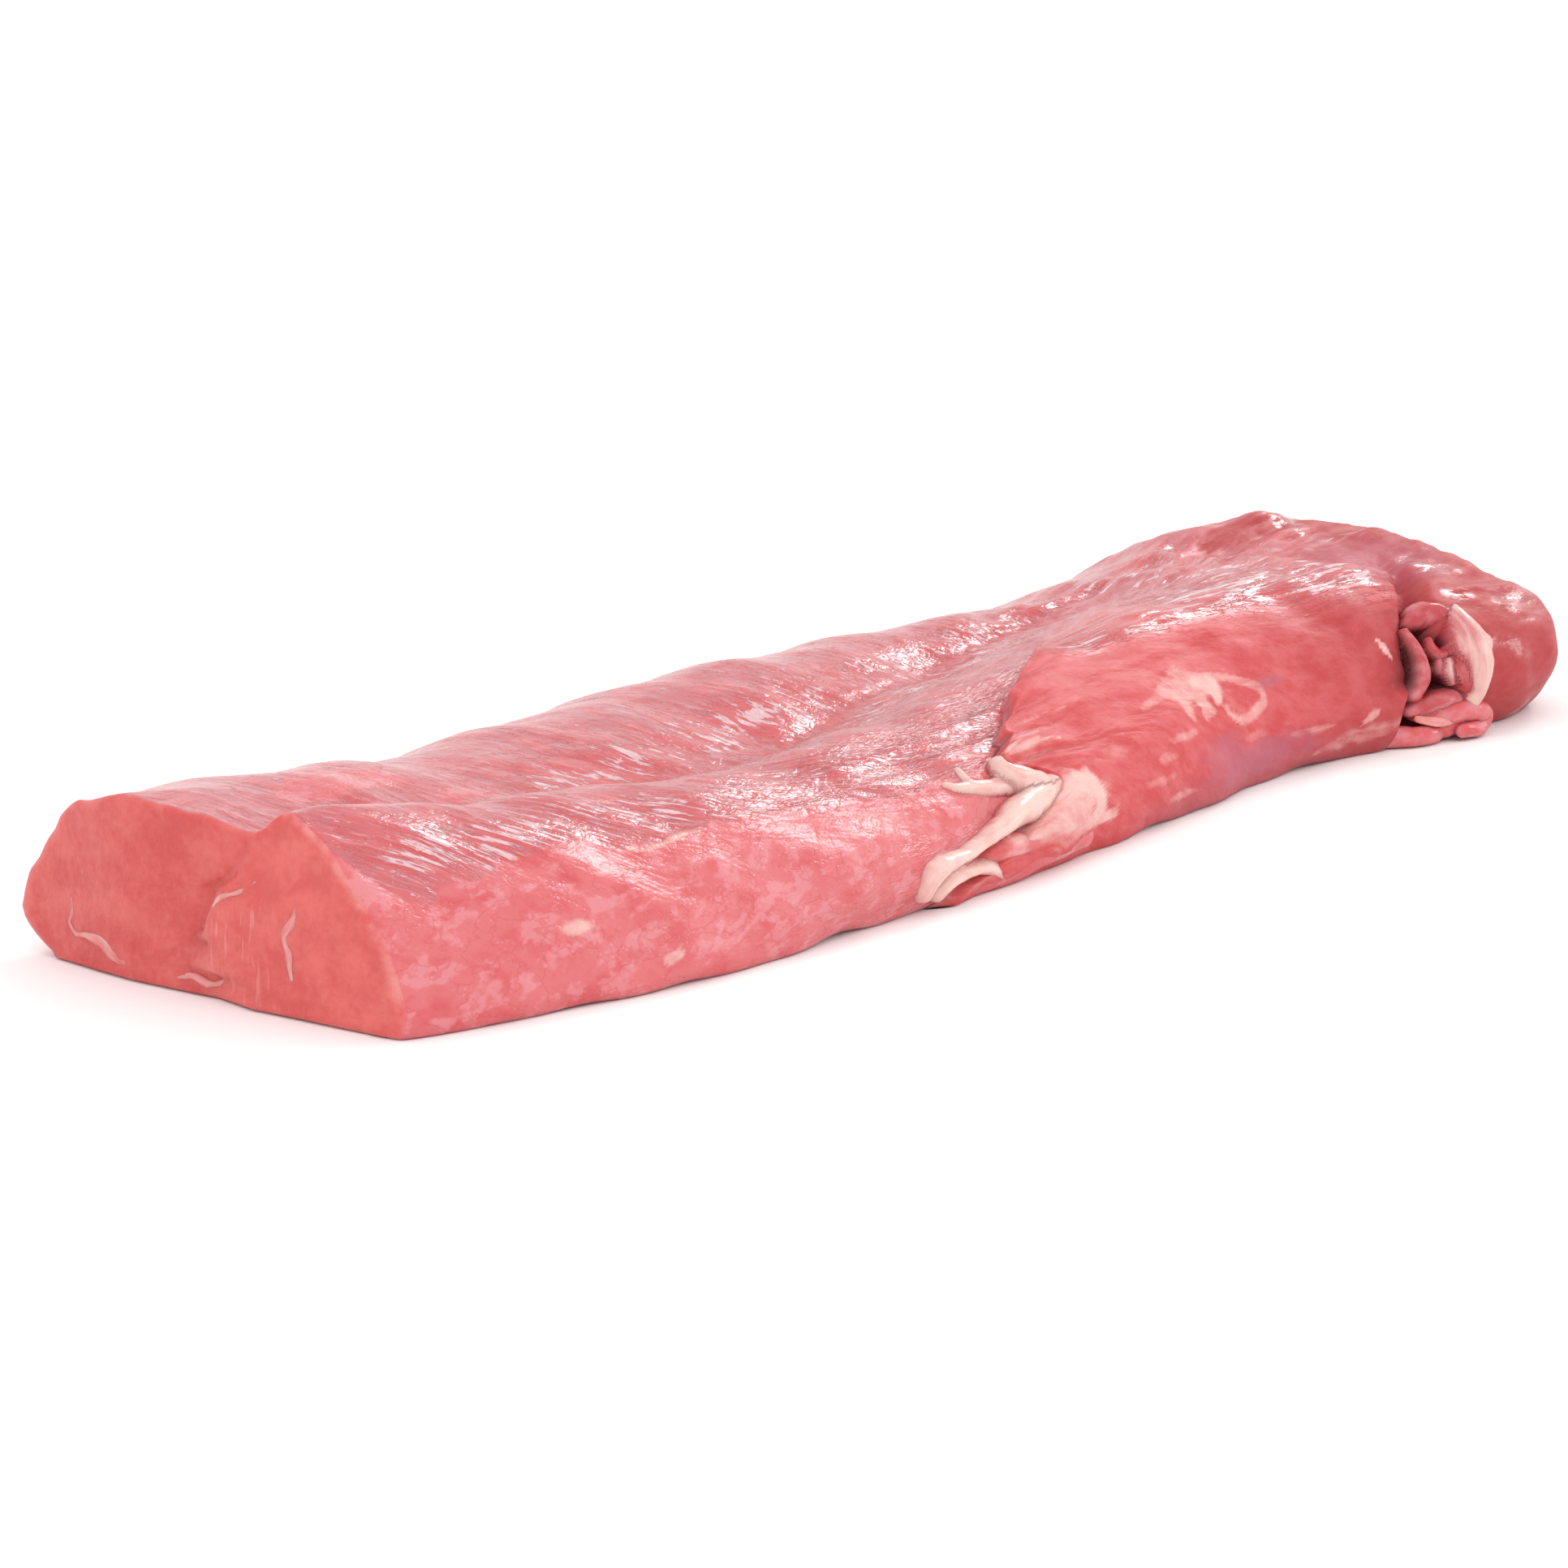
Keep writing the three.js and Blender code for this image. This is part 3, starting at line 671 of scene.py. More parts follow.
FAT_MARKS = [
    # The fan at the end of the strap, its bright end and its lower finger
    ([(212, 1), (222, 1.04), (234, 1.07), (246, 1.06), (256, 1.04)], [(0, 6), (0.4, 13), (1, 19)],
      0.84),
    ([(250, 1.22), (260, 1.25), (266, 1.12), (268, 0.97), (266, 0.86)], [(0, 5), (0.5, 9), (1, 7)],
      1.2),
    ([(228, 0.88), (246, 0.83), (264, 0.75), (276, 0.72)], [(0, 3), (0.5, 4.5), (1, 4)], 0.9),
    # Thin streaks that run in from the lip
    ([(236, 1.96), (247, 1.93), (262, 1.88)], [(0, 4), (0.5, 3), (1, 1.6)], 0.85),
    ([(243, 2.1), (254, 2.06), (270, 2.02)], [(0, 3.4), (0.5, 2.2), (1, 1.4)], 0.6),
    ([(250, 2.22), (262, 2.2), (276, 2.15)], [(0, 3), (0.5, 2), (1, 1.2)], 0.5),
    # The cloud of fat on the sheet, with two tongues and a hook
    ([(323, 1.88), (332, 1.92), (340, 1.89), (351, 1.82)], [(0, 6), (0.3, 12), (0.6, 12), (1, 8)],
      0.78),
    ([(344, 1.9), (350, 1.85), (353, 1.76), (351, 1.62)], [(0, 5), (0.4, 9), (1, 5)], 1.1),
    ([(338, 1.84), (334, 1.72), (332.5, 1.62)], [(0, 11), (1, 9)], 0.8),
    ([(344.6, 1.84), (343.4, 1.68), (344.5, 1.55), (342, 1.49)], [(0, 11), (0.6, 9), (1, 6)], 0.85),
    ([(337.8, 2.14), (340.4, 2.13), (340.2, 2)], [(0, 2.4), (1, 3)], 0.6),
    ([(308, 1.79), (315, 1.83), (325, 1.87)], [(0, 2.4), (1, 4.5)], 0.55),
    # The loop right of the cloud
    ([(352, 1.92), (361.6, 1.84), (366.7, 1.75), (372, 1.66), (375.6, 1.56), (375.3, 1.45),
      (371.4, 1.36), (365.8, 1.3), (359.9, 1.27), (355.2, 1.34), (353.3, 1.46)], [(0, 4), (0.4, 5),
      (0.7, 5), (1, 4)], 0.72),
    ([(355, 1.8), (361, 1.62), (364, 1.47)], [(0, 13), (1, 14)], 0.34),
    # Two slivers near the cleft, and a faint streak under them
    ([(437.5, 1.86), (441, 1.75), (444.8, 1.62)], [(0, 2.2), (0.5, 4), (1, 2.4)], 1.1),
    ([(421.5, 0.7), (424.7, 0.76), (428.5, 0.83)], [(0, 2.4), (0.5, 4), (1, 2.4)], 0.75),
    ([(400, 0.4), (412, 0.46), (424, 0.5), (434, 0.52), (443, 0.5)], [(0, 4), (0.5, 7), (1, 6)], 0.48),
    # Streaks on the near muscle
    ([(84, 2.24), (89, 2.16), (94, 2.18), (101, 2.24), (111, 2.26)], [(0, 2), (0.3, 3), (1, 1.6)],
      0.85),
    ([(163, 1.9), (169, 1.89), (175, 1.84), (181, 1.84), (187, 1.81)], [(0, 2.4), (0.3, 5), (0.8, 5),
      (1, 2)], 0.5),
    ([(174, 1.8), (176, 1.7), (175, 1.6)], [(0, 3), (1, 2.4)], 0.45),
    ([(180, 1.78), (182, 1.68), (182, 1.6)], [(0, 3), (1, 2.4)], 0.45),
    ([(74.5, 1.26), (76, 1.38), (80, 1.46), (87.6, 1.54), (98, 1.52)], [(0, 1.6), (1, 1.6)], 0.5),
    ([(77, 0.55), (81.5, 0.61)], [(0, 3.4), (1, 3.4)], 0.9),
]
AROUND = from_foot(X, P)
bare = 0 * X
for number, ((x, place), (length, breadth), strength) in enumerate(BARE):
    bare = np.maximum(bare, strength * patch(x, place, length, breadth, seed=170 + number))
fat = 0 * X
for number, ((x, place), (length, breadth), strength) in enumerate(FAT_SHOWS):
    fat = np.maximum(fat, strength * patch(x, place, length, breadth, seed=100 + number))
for number, (line, breadth, strength) in enumerate(FAT_MARKS):
    fat = np.maximum(fat, strength * mark(line, breadth, seed=130 + number))
violet = np.maximum(patch(366, 0.6, 40, 0.4, seed=150), 0.8 * patch(345, 0.9, 22, 0.4, seed=151))
violet = np.maximum(violet, 0.8 * patch(382, 1.62, 12, 0.1, seed=153))
violet = np.maximum(violet, 0.6 * patch(482, 3.2, 40, 0.6, seed=152))
print("pale patches and marks:", len(FAT_SHOWS), len(FAT_MARKS))


# %% [markdown]
# ## Glints in the film
#
# Along a few bands the film is torn and stretched: its shreds are painted white, partly the film's own
# pale colour and partly painted glints, and red meat shows between them. Each band is a line
# of pairs of distance and place, with its half width and the stretch of the meat that it covers.

# %% Bands where the film is broken
GLINT_BANDS = [
    ([(0, 2.6), (18, 2.4), (34, 2.5), (52, 2.48), (86, 2.62), (121, 2.52), (168, 2.55), (205, 2.6),
      (242, 2.5), (262, 2.6)], 0.27, (0, 268)),
    ([(99, 3.1), (137, 3.35), (169, 3.55), (198, 3.6), (231, 3.66), (274, 3.72), (308, 3.78),
      (340, 3.9)], 0.26, (110, 345)),
    ([(90, 4.2), (141, 4.26), (186, 4.34), (212, 4.33), (234, 4.3), (264, 4.34), (294, 4.38),
      (348, 4.24)], 0.2, (100, 350)),
    ([(285, 2.85), (324, 2.84), (348, 2.7), (369, 2.8), (401, 3)], 0.2, (280, 395)),
    ([(360, 3), (401, 3.1), (428, 3.1), (450, 3), (470, 2.9)], 0.62, (360, 470)),
    ([(350, 4.5), (380, 4.4), (410, 4.2), (440, 3.9)], 0.5, (345, 440)),
]
GLINT_STRENGTHS = (0.8, 0.85, 0.85, 0.6, 0.95, 0.5)
glints = 0 * X
for number, (line, half_width, (start, end)) in enumerate(GLINT_BANDS):
    along_band = soft_step(X, start, start + 25) * (1 - soft_step(X, end - 20, end))
    strength = GLINT_STRENGTHS[number] + 0.5 * noise(X / 19, P * 2, seed=180 + number)
    glints = np.maximum(glints, np.clip(strength, 0, 1) * along_band * bell(P - keyed(line, X), half_width))
glints = glints * (1 - 0.85 * bare)
print("glints cover", round(float((glints > 0.4).mean()) * 100), "% of the sides")


# %% Amounts on the cut, and all of them stored
def on_cut_edge():
    """The pale rim of the cut along its near edge, ring by ring."""
    shares = np.array(CUT_SHARES[::-1])[:, None]
    near_edge = soft_step(PLACES, 0.2, 0.9) * (1 - soft_step(PLACES, 3.2, 3.9))
    return bell(shares - 0.985, 0.032) * (0.12 + 0.88 * near_edge[None, :])


def on_lobe_rim():
    """The pale, ragged edge of the proud lobe."""
    y, z = cut[..., 1], cut[..., 2]
    off = y - keyed(LOBE_EDGE, z) + 0.9 * noise(z / 3, seed=44)
    return bell(off + 1.4, 1.5) * (1 - soft_step(z, 21, 30)) * soft_step(z, 1, 5)


def on_lobe():
    """The proud lobe of the cut, where the knife pulled pale fibres out."""
    y, z = cut[..., 1], cut[..., 2]
    edge = keyed(LOBE_EDGE, z)
    inner = soft_step(y, edge - 26, edge - 14) * (1 - soft_step(y, edge - 2, edge))
    return inner * (1 - soft_step(z, 22, 30))


def store_on(mesh, name, values, kind="FLOAT"):
    """Stores an amount, or three numbers, for each point of a mesh."""
    layer = mesh.attributes.new(name, kind, "POINT")
    field = "value" if kind == "FLOAT" else "vector"
    layer.data.foreach_set(field, np.ascontiguousarray(values, np.float32).ravel())


def from_the_cut(values):
    """Amounts for the whole skin that are given on the cut and are 0 elsewhere."""
    amounts = np.zeros(SKIN.shape[:2])
    amounts[:CUT_COUNT] = values
    return amounts


def store_pair(name, pair_of_sides, pair_of_tail):
    """Fibre coordinates in millimetres; on the cut they are its own breadth and height."""
    along, across = [np.concatenate([on_the_cut, on_side, on_tail]) for on_the_cut, on_side, on_tail
                     in zip((cut[..., 1], cut[..., 2]), pair_of_sides, pair_of_tail)]
    store_on(fillet.data, name, np.stack([along, across, 0 * along], -1), "FLOAT_VECTOR")


cut_y, cut_z = cut[..., 1], cut[..., 2]
cut_shares = np.array(CUT_SHARES[::-1])[:, None]
lobe_edge = keyed(LOBE_EDGE, cut_z)
calm = np.ones(SKIN.shape[:2])
calm[:CUT_COUNT] = soft_step(cut_shares, 0.99, 0.93)
calm[CUT_COUNT:CUT_COUNT + len(X)] = soft_step(X - X[:1], 0, 4)
AMOUNTS = {
    "film": stretch(film * (1 - bare)),
    "sheet": stretch(sheet),
    "fat": stretch(fat),
    "painted_shade": stretch(np.maximum(painted_shade, 0.7 * shadow_under_edge)),
    "crease_red": stretch(np.maximum(crease_red, 0)),
    "violet": stretch(violet),
    "tail": stretch(soft_step(X, 360, 470)),
    "glints": stretch(glints),
    "foot_shade": stretch(foot_shade * soft_step(X, 270, 330)),
    "calm": calm,
    "rim": from_the_cut(np.maximum(on_cut_edge(), 0.6 * on_lobe_rim())),
    "lobe": from_the_cut(on_lobe()),
    "lit_near_part": from_the_cut(1 - soft_step(cut_y, lobe_edge - 6, lobe_edge + 3)),
    "cut": from_the_cut(soft_step(cut_shares, 1.02, 0.97)),
}
for name, values in AMOUNTS.items():
    store_on(fillet.data, name, values)
print("stored amounts:", len(AMOUNTS))

# %% [markdown]
# ## Wetness and fibres
#
# The film on the top is wet and mirrors the studio, the overlapping sheet is duller below its top,
# and the tail is wet in spots. The fibre coordinates of both muscles are stored as well.

# %% How wet each part is
top_band = soft_step(P, 2.5, 2.75) * (1 - soft_step(P, 4.4, 5.2)) * soft_step(X, 290, 330)
wet_spots = soft_step(rich_noise(X / 13, W / 9, seed=91), 0.16, 0.42)
gloss = 0.62 + 0.3 * film
gloss = gloss * (1 - 1.3 * behind_edge * (1 - top_band))
gloss = np.maximum(gloss, 0.9 * top_band)
gloss = gloss + (0.9 * wet_spots - gloss) * soft_step(X, 425, 465)
store_on(fillet.data, "gloss", stretch(np.clip(gloss, -0.3, 1), 0.15))
print("mean wetness of the sides:", round(float(gloss.mean()), 2))
tail_x = tail[:, :1, 0] + 0 * PLACES
tail_around = SIDE_AROUND[-1:] + 0 * tail_x
store_pair("main_fibres", main_fibres(X, W), main_fibres(tail_x, tail_around))
store_pair("sheet_fibres", sheet_fibres(X, W), sheet_fibres(tail_x, tail_around))
print("stored:", ", ".join(layer.name for layer in fillet.data.attributes if layer.name[0] != "."))

# %% [markdown]
# ## Shader sums in Python
#
# A finish mixes many amounts, and a tree of nodes is hard to read. A small class wraps one socket
# and lets Python's own signs add the Math nodes, so that `1 - film * 0.5` can be written as it is.
# Colours go through Mix nodes, because a Math node would turn them grey.

# %% A socket that can be used in sums
class Amount:
    """One output socket of a finish, for use in sums."""

    def __init__(self, finish, socket):
        self.finish = finish
        self.socket = socket

    def sum_node(self, operation, first, second=0.0):
        return self.finish.node("ShaderNodeMath", {"operation": operation}, {0: first, 1: second})

    def __add__(self, other):
        return self.sum_node("ADD", self, other)

    def __sub__(self, other):
        return self.sum_node("SUBTRACT", self, other)

    def __rsub__(self, other):
        return self.sum_node("SUBTRACT", other, self)

    def __mul__(self, other):
        return self.sum_node("MULTIPLY", self, other)

    __radd__ = __add__
    __rmul__ = __mul__

    def most(self, other):
        return self.sum_node("MAXIMUM", self, other)

    def size(self):
        return self.sum_node("ABSOLUTE", self)

    def soft(self, low, high):
        """0 below low, 1 above high, with a smooth slope between."""
        return self.finish.node(
            "ShaderNodeMapRange", {"interpolation_type": "SMOOTHSTEP"},
            {"Value": self, "From Min": low, "From Max": high})


class Finish:
    """A material under construction."""

    def __init__(self, name):
        self.material = bpy.data.materials.new(name)
        self.material.use_nodes = True
        self.tree = self.material.node_tree
        self.tree.nodes.clear()

    def node(self, kind, settings=None, values=None, output=0):
        """Adds a node: its settings first, then the values or links of its sockets."""
        made = self.tree.nodes.new(kind)
        for name, setting in (settings or {}).items():
            setattr(made, name, setting)
        for name, value in (values or {}).items():
            if isinstance(name, int):
                socket = made.inputs[name]
            else:
                socket = next(s for s in made.inputs if s.name == name and s.enabled)
            if isinstance(value, Amount):
                self.tree.links.new(value.socket, socket)
            elif isinstance(value, tuple) and len(value) == 3 and socket.type == "RGBA":
                socket.default_value = (*value, 1)
            else:
                socket.default_value = value
        if not made.outputs:
            return None
        open_outputs = [s for s in made.outputs if s.enabled]
        found = open_outputs[output] if isinstance(output, int) else made.outputs[output]
        return Amount(self, found)

    def stored(self, name, output="Fac"):
        return self.node("ShaderNodeAttribute", {"attribute_name": name}, output=output)

    def blend(self, first, second, amount):
        """The first colour, turned into the second by an amount."""
        return self.node("ShaderNodeMix", {"data_type": "RGBA"},
                         {"Factor": amount, "A": first, "B": second})

    def grain(self, place, size, detail=2.0, roughness=0.5, shift=0.0):
        """Noise from 0 to 1 whose grains are this long and this wide, in millimetres."""
        long, wide = size
        scaled = self.node("ShaderNodeMapping", {"vector_type": "POINT"},
                           {"Vector": place, "Location": (shift, shift * 0.7, shift * 0.3),
                            "Scale": (1 / long, 1 / wide, 1 / wide)})
        return self.node("ShaderNodeTexNoise", {"noise_dimensions": "3D"},
                         {"Vector": scaled, "Scale": 1.0, "Detail": detail, "Roughness": roughness})


STUDIO_LIGHT = 1.36


def paint(red, green, blue):
    """A colour as the eye sees it in the studio, 0 to 255, turned into the share of light sent back."""
    return tuple(((v / 255 + 0.055) / 1.055) ** 2.4 / STUDIO_LIGHT for v in (red, green, blue))


print("coral as light:", np.round(paint(236, 120, 124), 3))

# %% [markdown]
# ## Wet meat
#
# Fresh veal is pale coral and slightly see-through: light goes in, scatters and comes out redder.
# A flat red paint would look like plastic, so some of the light travels under the surface. The
# surface itself is wet and its bumps shine where the lamps catch them, and the broken white glints of
# the wet film over ridged fibres are also painted into the colour as pale shreds. The
# bumps stretch along the stored fibre coordinates.

# %% Colours of the meat
CORAL = paint(238, 122, 126)
DEEP_CORAL = paint(231, 97, 101)
PALE_CORAL = paint(246, 160, 166)
# The near part of the cut is painted lighter and the far part darker: painted light and shade on one colour.
CUT_FAR_SHADED = paint(231, 91, 88)
CUT_NEAR_LIT = paint(244, 107, 102)
CUT_PALE = paint(248, 132, 124)
CUT_DEEP = paint(218, 78, 78)
SHEET_RED = paint(218, 60, 62)
# The tail's colour is deeper than the rest: partly its own tone, partly painted shade.
TAIL_ROSE_AND_SHADE = paint(184, 42, 45)
# A painted mauve shade for the foot of the sheet, near the floor.
FOOT_SHADE_MAUVE = paint(176, 84, 94)
TEAR_RED = paint(224, 90, 94)
FILM_LILAC = paint(210, 112, 118)
FILM_PINK = paint(226, 108, 112)
# The white of the film's shreds, also used for the painted glints and sheen on the film.
FILM_WHITE_AND_GLINT = paint(255, 214, 219)
CREAM = paint(255, 218, 207)
FLAP_CREAM = paint(250, 206, 194)
FLAP_PINK = paint(236, 152, 156)
FOLD_ROSE = paint(206, 74, 80)
FAT_PINK = paint(249, 176, 170)
VIOLET = paint(190, 100, 124)
# The dark used for painted shade in the cleft, under the overlap's edge and deep in the fat layers.
PAINTED_SHADE_DARK = paint(96, 22, 26)

MEAT_BUMP, FAT_BUMP = 0.0012, 0.0008
WET_INDEX = 1.42

meat = Finish("wet_veal")
fibres = meat.stored("main_fibres", "Vector")
long_fibres = meat.stored("sheet_fibres", "Vector")
film_amount = meat.stored("film")
sheet_amount = meat.stored("sheet")
tail_tone_and_shade = meat.stored("tail")
cut_amount = meat.stored("cut")
painted_shade_amount = meat.stored("painted_shade")


def turned(main, sheet):
    """The main muscle's grain, turned into the sheet's where the sheet lies."""
    return main + (sheet - main) * sheet_amount


fine = turned(meat.grain(fibres, (9, 1.8), detail=3), meat.grain(long_fibres, (13, 2.6), detail=3))
veil = turned(meat.grain(fibres, (7, 1.9), detail=4, roughness=0.6, shift=5),
              meat.grain(long_fibres, (14, 2.6), detail=4, roughness=0.6, shift=5))
wide = turned(meat.grain(fibres, (24, 6)), meat.grain(long_fibres, (46, 9), detail=1.5))
spot = meat.node("ShaderNodeTexCoord", output="Object")
mottle = turned(meat.grain(spot, (0.012, 0.009), detail=4, roughness=0.6, shift=40),
                meat.grain(long_fibres, (24, 13), detail=4, roughness=0.55, shift=40))
smear = meat.grain(long_fibres, (8, 4.5), detail=3, roughness=0.6, shift=90)
flakes = meat.grain(spot, (0.009, 0.006), detail=3.5, roughness=0.6, shift=60)
threads = meat.grain(spot, (0.016, 0.011), detail=4, roughness=0.55, shift=75)
thread = 1 - (threads - 0.5).size().soft(0.0, 0.02)

side_colour = meat.blend(DEEP_CORAL, CORAL, mottle.soft(0.28, 0.58))
# Pale mottles on the near side: partly its own paler tone, partly a painted sheen of its wet ripples.
side_colour = meat.blend(side_colour, PALE_CORAL, (flakes + (smear - 0.5) * 0.4).soft(0.49, 0.61) * 0.6)
side_colour = meat.blend(side_colour, DEEP_CORAL, thread * 0.5)
sheet_colour = meat.blend(SHEET_RED, DEEP_CORAL, (mottle * 0.5 + smear * 0.5).soft(0.40, 0.62))
# Painted shade: the sheet turns mauve towards its foot on the floor.
sheet_colour = meat.blend(sheet_colour, FOOT_SHADE_MAUVE, meat.stored("foot_shade") * 0.72)
side_colour = meat.blend(side_colour, sheet_colour, sheet_amount * 0.9)
# Towards its end the tail is painted deeper: partly its own tone, partly painted shade.
side_colour = meat.blend(side_colour, TAIL_ROSE_AND_SHADE, tail_tone_and_shade * (1.05 - smear * 0.6))
cut_grain = meat.grain(fibres, (2.4, 2.4), detail=3, shift=7)
# Painted light and shade: the proud near part of the cut is painted lit, the far part shaded.
cut_base = meat.blend(CUT_FAR_SHADED, CUT_NEAR_LIT, meat.stored("lit_near_part"))
cut_cloud = meat.grain(fibres, (22, 13), detail=4, shift=33)
cut_shade = (mottle * 0.4 + cut_cloud * 0.4 + cut_grain * 0.2).soft(0.38, 0.62)
cut_colour = meat.blend(cut_base, meat.blend(CUT_DEEP, CUT_PALE, cut_shade), 0.5)
scratches = meat.grain(fibres, (0.8, 8), detail=2, shift=21).soft(0.56, 0.72) * meat.stored("lobe")
cut_colour = meat.blend(cut_colour, FAT_PINK, scratches * 0.5)
colour = meat.blend(side_colour, cut_colour, cut_amount)
print("meat colours mixed:", len(meat.tree.nodes), "nodes so far")

# %% Film, fat, violet and dark places
glint_amount = meat.stored("glints")
filmed = film_amount.most(glint_amount).soft(0.1, 0.5)
# Painted glints: white shreds of film painted pale into the colour, partly the film's own white and partly
# glints.
white = (veil + glint_amount * 0.16).soft(0.64, 0.69) * filmed
white = white * (flakes + glint_amount * 0.15).soft(0.42, 0.56)
tears = ((1 - veil) + glint_amount * 0.13 + meat.stored("crease_red") * 0.12).soft(0.585, 0.635) * filmed
film_cover = (film_amount * 1.4 + (fine - 0.5) * 1.3).soft(0.3, 0.8) * (1 - tears * 0.9)
film_colour = meat.blend(FILM_LILAC, FILM_PINK, (mottle * 0.5 + wide * 0.5).soft(0.42, 0.60))
# A painted pale sheen streaks the film's colour.
film_colour = meat.blend(film_colour, FILM_WHITE_AND_GLINT, (fine + glint_amount * 0.1).soft(0.54, 0.74) * 0.32)
colour = meat.blend(colour, TEAR_RED, tears * 0.85)
colour = meat.blend(colour, film_colour, film_cover * 0.88)
colour = meat.blend(colour, FILM_WHITE_AND_GLINT, white * 0.85)
fat_amount = meat.stored("fat")
fat_cover = fat_amount * 1.15 + (mottle - 0.5) * 0.8 + (smear - 0.5) * 0.7 + (fine - 0.5) * 0.5
fat_cover = fat_cover.soft(0.25, 1.05)
fat_colour = meat.blend(FAT_PINK, CREAM, (fat_amount * 0.5 + smear * 0.6).soft(0.6, 0.95))
colour = meat.blend(colour, fat_colour, fat_cover * 0.86)
colour = meat.blend(colour, VIOLET, meat.stored("violet").soft(0.1, 1.0) * 0.6)
colour = meat.blend(colour, FAT_PINK, meat.stored("rim") * mottle.soft(0.34, 0.60) * 0.6)
# Painted shade inside the cleft and under the edge of the overlap.
colour = meat.blend(colour, PAINTED_SHADE_DARK, painted_shade_amount.soft(0.25, 0.95))

on_side = 1 - cut_amount
ridges = (white - tears) * 0.15 + (fine - 0.5) * (0.11 - sheet_amount * 0.09)
ridges = ridges + (wide - 0.5) * (0.35 + sheet_amount * 0.3)
on_muscle = (1 - film_amount) * (1 - sheet_amount)
wrinkles = (smear - 0.5) * (0.4 - sheet_amount * 0.15) + (mottle - 0.5) * (0.5 + sheet_amount * 0.25)
wrinkles = wrinkles + fat_cover * 0.16 + ((flakes - 0.5) * 0.5 - thread * 0.06) * on_muscle
cut_bumps = (cut_grain - 0.5) * 0.4 + (mottle - 0.5) * 0.8
height = ((ridges + wrinkles) * on_side + cut_bumps * cut_amount) * meat.stored("calm")
bumped = meat.node("ShaderNodeBump", None, {"Strength": 1.0, "Distance": MEAT_BUMP, "Height": height})
shine = 0.54 - meat.stored("gloss") * 0.36 + (mottle - 0.5) * 0.2 - glint_amount * 0.08

surface = meat.node(
    "ShaderNodeBsdfPrincipled", {"subsurface_method": "RANDOM_WALK"},
    {"Base Color": colour, "Roughness": shine, "Normal": bumped, "IOR": WET_INDEX,
     "Subsurface Weight": 0.4, "Subsurface Radius": (1.0, 0.34, 0.26), "Subsurface Scale": 0.004,
     "Specular IOR Level": 0.55})
meat.node("ShaderNodeOutputMaterial", None, {"Surface": surface})
fillet.data.materials.append(meat.material)
print("wet meat has", len(meat.tree.nodes), "nodes")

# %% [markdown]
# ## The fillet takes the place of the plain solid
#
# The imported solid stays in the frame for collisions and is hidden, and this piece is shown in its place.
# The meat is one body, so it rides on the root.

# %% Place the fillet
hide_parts("veal_loin_fillet")
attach(fillet, "root")
print("fillet size, mm:", np.round(np.array(fillet.dimensions) * 1000, 1))

# %% [markdown]
# ## Straps of fat as strokes
#
# The torn edge of the overlap carries creamy straps that grow out of the meat and run into each
# other. Separate tubes would look like worms laid on top. So each strap is drawn as a stroke: a
# line on the meat with its breadth, its height and how creamy it is. All strokes of one layer are
# joined into one fine height field by a soft maximum, like wax that has run together, and the rest
# of the layer lies hidden under the skin.

# %% The height field of strokes
def stroke_field(x, around, stroke, seed):
    """Height, creaminess and string coordinates of one stroke at every point of a layer."""
    line, breadth, cream, depth = stroke
    route = route_through(line)
    share, length, (_, _, line_lift) = route
    reach = max(width for _, width in breadth) * 0.8 + 2
    near, nearest, off, across = nearest_on(route, x, around, reach)
    along = share[nearest] * length
    half = keyed(breadth, share[nearest]) / 2
    half *= 1 + 0.16 * rich_noise(along / 7, np.sign(across) * 3 + 5, seed=seed, layers=2)
    half *= 1 + 0.10 * rich_noise(x[near] / 3, around[near] / 3, seed=seed + 4, layers=2)
    profile = np.sqrt(np.clip(1 - (off / half) ** 2, 0, 1))
    strings = 0.12 * noise(along / 11, across / 1.5, seed=seed + 1)
    strings = strings + 0.26 * noise(along / 8, across / 4, seed=seed + 2)
    height = line_lift[nearest] - depth * (1 - profile) + strings
    fields = [np.full(x.shape, -30.0), np.zeros(x.shape), np.zeros(x.shape), np.zeros(x.shape)]
    creamy = keyed(cream, share[nearest]) * (0.25 + 0.75 * soft_step(profile, 0.1, 0.75))
    for field, values in zip(fields, (np.where(profile > 0, height, -30.0), creamy, along, across)):
        field[near] = values
    return fields


HIDDEN_DEPTH = 1.6
SHADE_START, SHADE_DEPTH = 2.6, 14


